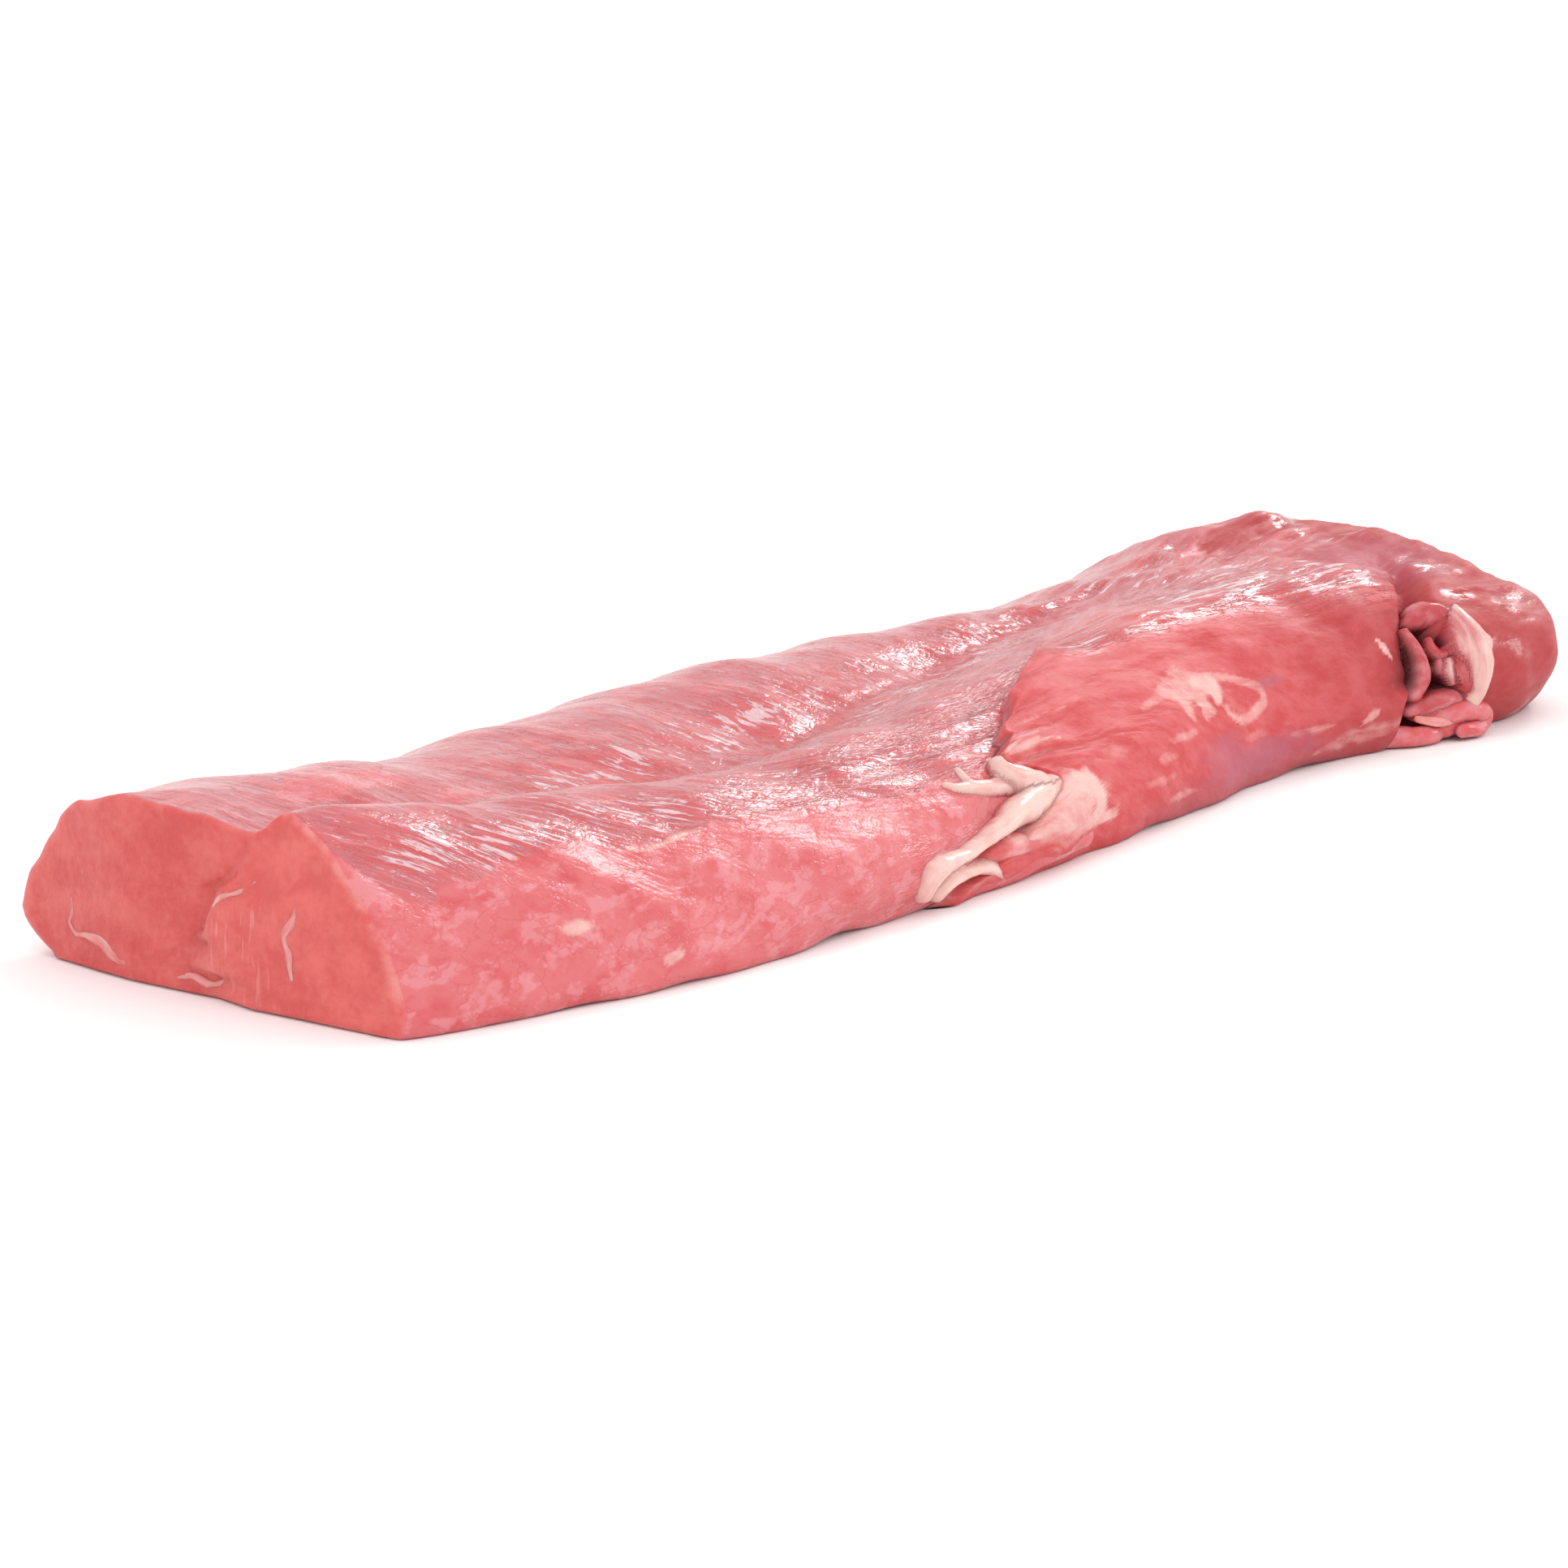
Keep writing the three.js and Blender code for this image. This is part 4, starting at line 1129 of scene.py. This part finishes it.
def fat_layer(name, x_range, place_range, step, strokes, softness=0.45, seed=0):
    """One fine height field over part of the meat, with all its strokes run together."""
    rows = np.arange(x_range[0], x_range[1] + step, step)
    breadth = float(np.diff(from_foot(np.mean(x_range), place_range))[0])
    places = np.linspace(*place_range, int(breadth / step) + 1)
    x, place = np.meshgrid(rows, places, indexing="ij")
    around = from_foot(x, place)
    ground = broad_relief(x, place)
    low, heights, creams, strings = ground - HIDDEN_DEPTH, [], [], []
    for number, stroke in enumerate(strokes):
        height, cream, along, across = stroke_field(x, around, stroke, seed + 10 * number)
        heights.append(height)
        creams.append(cream)
        strings.append((along + 40 * number, across))
    heights = np.array(heights)
    top = heights.max(0)
    weights = np.exp((heights - top) / softness)
    joined = top + softness * np.log(weights.sum(0))
    cream = (weights * np.array(creams)).sum(0) / weights.sum(0)
    best = heights.argmax(0)
    along, across = [np.choose(best, list(values)) for values in zip(*strings)]
    shown = joined > ground - 1.0
    y, z, out_y, out_z = outline(x, place)
    lift = np.maximum(joined, low)
    points = np.stack([x, y + out_y * lift, np.maximum(z + out_z * lift, 0.05)], -1)
    kept = shown[:-1, :-1] | shown[1:, :-1] | shown[:-1, 1:] | shown[1:, 1:]
    index = np.arange(x.size).reshape(x.shape)
    quads = np.stack([index[:-1, :-1], index[1:, :-1], index[1:, 1:], index[:-1, 1:]], -1)[kept]
    used, renamed = np.unique(quads, return_inverse=True)
    mesh = bpy.data.meshes.new(name)
    mesh.from_pydata(in_frame(points.reshape(-1, 3)[used]).tolist(), [], renamed.reshape(-1, 4).tolist())
    mesh.polygons.foreach_set("use_smooth", np.ones(len(mesh.polygons), bool))
    piece = bpy.data.objects.new(name, mesh)
    bpy.context.scene.collection.objects.link(piece)
    store_on(mesh, "cream", cream.ravel()[used])
    # Painted shade: how far the layer lies below the skin, which its finish paints dark.
    store_on(mesh, "deep", np.clip(-(lift + SHADE_START) / SHADE_DEPTH, 0, 1).ravel()[used])
    store_on(mesh, "strings", np.stack([along, across, 0 * along], -1).reshape(-1, 3)[used], "FLOAT_VECTOR")
    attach(piece, "root")
    print(name, "has", len(mesh.polygons), "faces from", len(strokes), "strokes")
    return piece


# %% [markdown]
# ## Fat along the edge of the overlap
#
# The main strap rises from the floor at the foot of the overlap, runs up along its edge and fans out
# over the sheet. A lower strand runs beside it, and a flap with two tips reaches back over the near
# muscle. The lifts here are counted from the smooth outline, so the strokes bridge the step.

# %% Strokes at the overlap
overlap_strokes = [
    # The main strap
    ([(179, 0.5, 4), (180.5, 0.66, 4.4), (185, 0.79, 4.4), (191.4, 0.85, 4.2), (199, 0.88, 4.2),
      (205, 0.95, 4.6), (211, 1.04, 5.2), (217.4, 1.12, 5.7), (225, 1.2, 6), (232.4, 1.27, 5.8),
      (240.4, 1.34, 5.4), (248, 1.38, 4.6), (256, 1.36, 4)], [(0, 7.5), (0.11, 6.5), (0.23, 4.6),
      (0.37, 4.6), (0.5, 6), (0.72, 9), (0.9, 10), (1, 9)], [(0, 0.72), (0.3, 0.85), (0.6, 1),
      (0.85, 1), (1, 0.7)], 7),
    # The lower strand, the red shred under it and an orange lump behind the strap
    ([(185.6, 0.4, 3.6), (187.8, 0.51, 4), (190.6, 0.59, 4.3), (195.3, 0.62, 4.3), (200.7, 0.62, 4.2),
      (206.4, 0.6, 4.2), (212, 0.52, 4.2), (216.5, 0.39, 3.6)], [(0, 5.5), (0.3, 4.8), (0.6, 4),
      (0.8, 4.6), (1, 4)], [(0, 0.9), (0.5, 0.75), (0.85, 1), (1, 0.8)], 6),
    ([(196, 0.12, 2.8), (205, 0.26, 3.4), (214, 0.3, 3.8), (224, 0.34, 4.2), (235, 0.44, 4.6),
      (248, 0.49, 4.6), (262, 0.5, 4.2)], [(0, 5), (0.3, 8), (0.6, 9), (1, 8)], [(0, 0.1), (0.5, 0),
      (1, 0.05)], 6),
    ([(209, 0.62, 1.6), (213, 0.71, 3), (217.4, 0.74, 4), (223, 0.74, 4.6), (231, 0.73, 4.6)], [(0, 4),
      (0.4, 6.5), (1, 6)], [(0, 0.3), (0.5, 0.32), (1, 0.1)], 5),
    # The roll at the tip of the overlap, the flap with its two tips
    ([(231.7, 1.91, 5), (230.1, 1.81, 6.2), (231.2, 1.7, 6.8), (234.6, 1.62, 6.8), (239, 1.54, 6.4),
      (243.6, 1.47, 5.8), (249, 1.43, 4.8)], [(0, 5), (0.25, 7), (0.6, 7), (0.85, 6), (1, 5)], [(0, 1),
      (0.4, 0.95), (0.8, 0.7), (1, 0.6)], 6),
    ([(244, 1.44, 3.6), (235, 1.55, 3.6), (230, 1.62, 3.2), (224.5, 1.69, 2.8), (219, 1.75, 2.3),
      (214.3, 1.81, 2), (210.2, 1.88, 1.7), (207.9, 1.97, 1.2)], [(0, 6), (0.3, 6.5), (0.55, 6),
      (0.8, 4.6), (1, 3)], [(0, 0.7), (0.5, 0.8), (1, 0.8)], 3.6),
    ([(216.3, 2.07, 2), (216, 1.96, 2.3), (216.5, 1.87, 2.1), (218.5, 1.77, 2.1)], [(0, 3), (0.6, 3.2),
      (1, 3.6)], [(0, 0.8), (1, 0.85)], 3.2),
]
overlap_fat = fat_layer("overlap_fat", (170, 292), (0.0, 2.4), 0.5, overlap_strokes, seed=300)

# %% [markdown]
# ## The torn flap beside the cleft
#
# Right of the cleft a pale, thin flap stands up with a pointed top and a knob at its foot. Between
# the flap and the cavity, which is painted dark as shade, lies a red fold, and above it a soft lobe closes
# the cleft.

# %% Strokes at the cleft
cleft_strokes = [
    # The flap, and the red fold on its inner side
    ([(477.5, 2.16, 1), (475, 1.95, 3), (473.4, 1.73, 4.6), (472.8, 1.52, 5.2), (472.4, 1.33, 5.4),
      (472, 1.14, 5.2), (471.4, 0.96, 4.8), (470.4, 0.81, 4.6), (468.8, 0.71, 4.6)], [(0, 2.2),
      (0.15, 8), (0.3, 13), (0.42, 15), (0.55, 13.5), (0.7, 10.5), (0.85, 8), (1, 5)], [(0, 0.95),
      (0.2, 0.7), (0.4, 0.66), (0.6, 0.74), (0.8, 0.9), (1, 1)], 4.2),
    ([(473.8, 1.95, 0.2), (470.6, 1.74, 1), (468.2, 1.55, 1.4), (467.4, 1.37, 1.8), (467.6, 1.17, 2.2),
      (468.8, 0.96, 2.6), (469.8, 0.81, 2.4)], [(0, 3), (0.3, 4.2), (0.5, 4.6), (0.75, 6.5), (1, 6)],
      [(0, 0.3), (0.4, 0.22), (0.6, 0.1), (1, 0.02)], 4),
    # The lobe above the cavity and the folds on its right wall
    ([(459.5, 2.12, -3), (463, 2.17, -1.4), (467.4, 2.2, 0), (471, 2.16, 0.6), (474, 2.04, 0.4)],
      [(0, 6), (0.4, 11), (1, 11)], [(0, 0.05), (0.6, 0.2), (1, 0.15)], 5),
    ([(462, 1.78, -2.6), (461.7, 1.62, -2), (463.2, 1.53, -1.8), (465.4, 1.49, -1.2)], [(0, 3),
      (0.5, 4.5), (1, 4)], [(0, 0.05), (1, 0.15)], 4),
    # Two pale folds in the cavity, like teeth
    ([(463, 1.46, -2.6), (462.7, 1.28, -2.6), (464.3, 1.05, -3.4)], [(0, 2), (0.5, 3.8), (1, 1.8)],
      [(0, 0.3), (0.5, 0.45), (1, 0.3)], 3),
    ([(464.6, 1.39, -0.4), (463.9, 1.19, -0.4), (465, 0.98, -1)], [(0, 2.4), (0.5, 3), (1, 2.4)],
      [(0, 0.4), (0.5, 0.55), (1, 0.4)], 3),
    # A soft fold beside the left lip, and the low folds that close the cavity towards the floor
    ([(454.6, 1.98, -2), (455.8, 1.7, -2.2), (456.4, 1.44, -2.5), (455.2, 1.17, -2.6),
      (450.8, 0.86, -2.4)], [(0, 4), (0.3, 7), (0.7, 9), (1, 8)], [(0, 0.12), (0.6, 0.2), (1, 0.1)],
      6),
    ([(448.1, 0.58, -1.6), (452.5, 0.64, -0.4), (458, 0.71, 0.8), (464.7, 0.73, 2)], [(0, 5), (0.5, 6),
      (1, 6)], [(0, 0.2), (0.5, 0.36), (1, 0.2)], 7),
    ([(450, 0.51, 0.2), (457.3, 0.55, 1.4), (463.5, 0.6, 2.4)], [(0, 4), (0.5, 6), (1, 5)], [(0, 0.1),
      (0.5, 0.3), (1, 0.2)], 7),
]
cleft_layer = fat_layer("cleft_flap", (440, 500), (0.2, 2.6), 0.45, cleft_strokes, softness=0.9, seed=600)

# %% [markdown]
# ## Loose strands
#
# A few parts hang free and need a round body: the curled lip on the floor under the cleft, the
# shred beside it, and the fine pale seams that the knife crossed in the cut. Each is a closed tube
# along a line of points, with noise in its section.

# %% A round strand along points
def strand(name, points, breadth, thickness, ragged=0.3, sides=24, seed=0):
    """points: (x, y, z) in mm; breadth and thickness: pairs of share and mm."""
    points = np.array(points, float)
    walked = np.concatenate([[0], np.cumsum(np.linalg.norm(np.diff(points, axis=0), axis=1))])
    steps = max(int(walked[-1] * 1.4), 14)
    even = np.arange(steps + 1) / steps
    share = 0.5 * even + 0.25 * (1 - np.cos(np.pi * even))
    middle = np.stack([keyed(list(zip(walked / walked[-1], points[:, k])), share) for k in range(3)], -1)
    ahead = np.gradient(middle, axis=0)
    ahead /= np.linalg.norm(ahead, axis=1, keepdims=True)
    across = np.cross(ahead, (0, -1, 0.3))
    across /= np.linalg.norm(across, axis=1, keepdims=True)
    up = np.cross(across, ahead)
    far = share * walked[-1]
    full = np.maximum(keyed(breadth, share), keyed(thickness, share)) * 0.55
    ends = np.clip(np.minimum(far, walked[-1] - far) / full, 0, 1)
    size = np.sqrt(1 - (1 - ends) ** 2)
    angle = -2 * np.pi * np.arange(sides) / sides
    round_about = np.cos(angle), np.sin(angle)
    bumps = rich_noise(far[:, None] / 5, round_about[0] * 1.5 + 7, round_about[1] * 1.5, seed=200 + seed)
    wide = (keyed(breadth, share) / 2 * size)[:, None] * (1 + ragged * bumps)
    high = (keyed(thickness, share) / 2 * size)[:, None] * (1 + 0.7 * ragged * bumps)
    rings = (middle[:, None] + across[:, None] * (wide * round_about[0])[..., None]
             + up[:, None] * (high * round_about[1])[..., None])
    rings[..., 2] = np.maximum(rings[..., 2], 0.05)
    piece = mesh_from_rings(name, rings)
    along = np.repeat(far[:, None], sides, 1)
    store_on(piece.data, "strings", np.stack([along, wide * round_about[0], high * round_about[1]], -1)
             .reshape(-1, 3), "FLOAT_VECTOR")
    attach(piece, "root")
    print(name, "is", round(float(walked[-1])), "mm long")
    return piece


# %% Shreds under the cleft
shreds = [
    strand("curled_lip", [(452, -12, 6.5), (459, -16, 7.4), (465, -19, 8.6), (472, -20.5, 8.0),
                          (476.5, -20.5, 5.6), (475, -20.5, 3.4), (468, -21, 2.9), (461, -20, 3.4)],
           [(0, 5), (0.4, 6.4), (0.75, 5.4), (1, 4)], [(0, 4.4), (0.5, 5), (1, 4)], seed=1),
    strand("curled_lip_back", [(484, -14, 5), (478, -17, 6.5), (471, -16.5, 6), (463, -15.5, 4.5),
                               (455, -13, 3.5)],
           [(0, 5), (0.5, 9), (1, 6)], [(0, 6), (0.5, 7.5), (1, 5)], ragged=0.35, seed=2),
    strand("cleft_foot_shred", [(428, 0, 2.2), (438, -7, 3.0), (447, -13.5, 3.0), (455, -15.5, 2.6),
                                (461, -14, 2.4)],
           [(0, 4), (0.5, 6.4), (1, 4.4)], [(0, 3), (0.5, 5.4), (1, 4)], seed=3),
]
pale_shreds = [
    strand("low_pale_ridge", [(447, -13, 8.4), (452, -16, 7.2), (459, -18, 6.4), (463, -19, 6.8)],
           [(0, 2), (0.5, 2.8), (1, 2)], [(0, 1.6), (1, 1.6)], seed=4),
]


# %% Seams in the cut
def on_cut_line(points, lift):
    """Points on the cut from pairs of breadth and height, standing a little out of it."""
    y, z = np.array(points, float).T
    return np.stack([cut_face(y, z) - lift, y, z], -1)


CUT_SEAMS = {
    "seam_far": ([(115, 17.5), (114.4, 13.5), (115.8, 10.5), (114, 8.6), (108, 8.8), (102, 8.6),
                  (98.5, 6.2), (92.7, 4.1)],
                 [(0, 1.2), (0.4, 2.0), (0.8, 4.2), (1, 2.0)]),
    "seam_near": ([(32.6, 28), (33.8, 23), (35.8, 20), (34.6, 16.5), (34.2, 12.5), (33.2, 9)],
                  [(0, 1.0), (0.4, 3.0), (0.7, 2.4), (1, 1.0)]),
    "seam_lobe": ([(60, 23.6), (57, 26.6), (52, 28.6), (46.7, 31.6)], [(0, 1.0), (0.5, 2.2), (1, 0.8)]),
    "seam_foot": ([(75, 3.4), (70, 4.6), (64, 3.4), (59, 4.8)], [(0, 1.0), (0.5, 2.2), (1, 1.0)]),
}
SEAM_BODY = [(0, 1.1), (0.5, 1.5), (1, 1.1)]
SEAM_SUNK = 0.42
seams = []
for number, (name, (points, width)) in enumerate(CUT_SEAMS.items()):
    line = on_cut_line(points, -SEAM_SUNK)
    seams.append(strand(name, line, SEAM_BODY, width, ragged=0.5, sides=16, seed=20 + number))
print("seams in the cut:", len(seams))

# %% [markdown]
# ## The finish of fat and shreds
#
# Fat is creamy where it is thick and pinker where it is thin or stringy. The strokes carry how
# creamy they are, and the strings run along them. Where a stroke isn't creamy at all, it is meat.

# %% Fat and shred finishes
def soft_tissue(name, cream_of, shine, meat_shade=DEEP_CORAL, thin_shade=FAT_PINK, thick_shade=CREAM):
    """A finish between meat and fat; cream_of gives its creaminess from the finish itself."""
    tissue = Finish(name)
    strings = tissue.stored("strings", "Vector")
    streaks = tissue.grain(strings, (13, 1.5), detail=3)
    cloud = tissue.grain(strings, (8, 5), detail=3, shift=12)
    cream = cream_of(tissue)
    cover = (cream * 1.25 + (streaks - 0.5) * 0.5 + (cloud - 0.5) * 0.7 - 0.06).soft(0.1, 0.85)
    meat_colour = tissue.blend(meat_shade, PALE_CORAL, cloud.soft(0.4, 0.7) * 0.6)
    thickness = (streaks * 0.5 + cloud * 0.5 + cream * 0.3).soft(0.55, 0.86)
    fat_colour = tissue.blend(thin_shade, thick_shade, thickness)
    shade = tissue.blend(meat_colour, fat_colour, cover)
    # Painted shade: parts of a layer that lie deep in the cleft are painted dark.
    shade = tissue.blend(shade, PAINTED_SHADE_DARK, tissue.stored("deep").soft(0.0, 0.24) * 0.97)
    height = streaks * 0.22 + cloud * 0.8
    bumped = tissue.node("ShaderNodeBump", None, {"Strength": 1.0, "Distance": FAT_BUMP, "Height": height})
    made = tissue.node(
        "ShaderNodeBsdfPrincipled", {"subsurface_method": "RANDOM_WALK"},
        {"Base Color": shade, "Roughness": (cloud - 0.5) * 0.25 + shine, "Normal": bumped, "IOR": WET_INDEX,
         "Subsurface Weight": 0.45, "Subsurface Radius": (1.0, 0.45, 0.34), "Subsurface Scale": 0.003,
         "Specular IOR Level": 0.5})
    tissue.node("ShaderNodeOutputMaterial", None, {"Surface": made})
    return tissue.material


waxy_fat = soft_tissue("waxy_fat", lambda tissue: tissue.stored("cream"), 0.26)
flap_fat = soft_tissue("flap_fat", lambda tissue: tissue.stored("cream"), 0.24,
                       FOLD_ROSE, FLAP_PINK, FLAP_CREAM)
torn_meat = soft_tissue("torn_meat", lambda tissue: 0.12, 0.22)
pale_seam = soft_tissue("pale_seam", lambda tissue: 0.36, 0.45, meat_shade=CUT_NEAR_LIT)
overlap_fat.data.materials.append(waxy_fat)
cleft_layer.data.materials.append(flap_fat)
for piece in shreds:
    piece.data.materials.append(torn_meat)
for piece in pale_shreds + seams:
    piece.data.materials.append(pale_seam)
print("finishes:", ", ".join(m.name for m in bpy.data.materials))

# %% [markdown]
# ## The camera
#
# The photograph was taken from the side of the cut with a long lens, a little above the meat. These
# numbers came from fitting the long edges and the two ends of the fillet to the picture.

# %% Camera
CAMERA_AT = (-906.88, -805.20, 319.33)
CAMERA_LOOKS = (0.77836, 0.59238, -0.20791)
LENS_MM = 121.1

lens = bpy.data.cameras.new("camera")
lens.lens = LENS_MM
lens.sensor_width = 36
lens.clip_start = 0.05
lens.clip_end = 50
camera = bpy.data.objects.new("camera", lens)
camera.location = in_frame(CAMERA_AT).tolist()
camera.rotation_euler = Vector(CAMERA_LOOKS).to_track_quat("-Z", "Y").to_euler()
bpy.context.scene.collection.objects.link(camera)
bpy.context.scene.camera = camera
print("camera is", round(float(np.linalg.norm(in_frame(CAMERA_AT))), 2), "m from the fillet")

# %% [markdown]
# ## Floor and light
#
# The meat lies on a plain white floor in a white studio. An even white world gives the soft fill.
# One large soft box hangs behind and above, so that the film on the top mirrors it at a flat angle
# and shows its glints, and one in front keeps the near side bright.

# %% Floor
def plain_floor():
    mesh = bpy.data.meshes.new("floor")
    half = 40
    corners = [(-half, -half, 0), (half, -half, 0), (half, half, 0), (-half, half, 0)]
    mesh.from_pydata(corners, [], [(0, 1, 2, 3)])
    floor = bpy.data.objects.new("floor", mesh)
    floor.location.z = -0.0003
    bpy.context.scene.collection.objects.link(floor)
    white = Finish("floor_white")
    matte = white.node("ShaderNodeBsdfPrincipled", None,
                       {"Base Color": (0.95, 0.95, 0.95), "Roughness": 0.9, "Specular IOR Level": 0.2})
    white.node("ShaderNodeOutputMaterial", None, {"Surface": matte})
    floor.data.materials.append(white.material)
    return floor


plain_floor()


# %% World and soft boxes
def soft_box(name, towards, angle, strength):
    """A far, round soft box: the direction it is seen in, how wide it looks, and its strength."""
    light = bpy.data.lights.new(name, "SUN")
    light.energy = strength
    light.angle = np.radians(angle)
    box = bpy.data.objects.new(name, light)
    box.location = towards
    box.rotation_euler = Vector(towards).to_track_quat("Z", "Y").to_euler()
    bpy.context.scene.collection.objects.link(box)


world = bpy.data.worlds.new("studio")
world.use_nodes = True
background = world.node_tree.nodes["Background"]
background.inputs["Color"].default_value = (1, 1, 1, 1)
background.inputs["Strength"].default_value = 1.18
bpy.context.scene.world = world
soft_box("back_soft_box", (0.78, 0.12, 0.50), 13, 0.58)
soft_box("side_soft_box", (0.75, -0.58, 0.30), 12, 0.22)
soft_box("front_soft_box", (-0.5, -0.8, 0.6), 40, 0.4)
bpy.context.scene.view_settings.view_transform = "Standard"
print("lights:", ", ".join(light.name for light in bpy.data.lights))
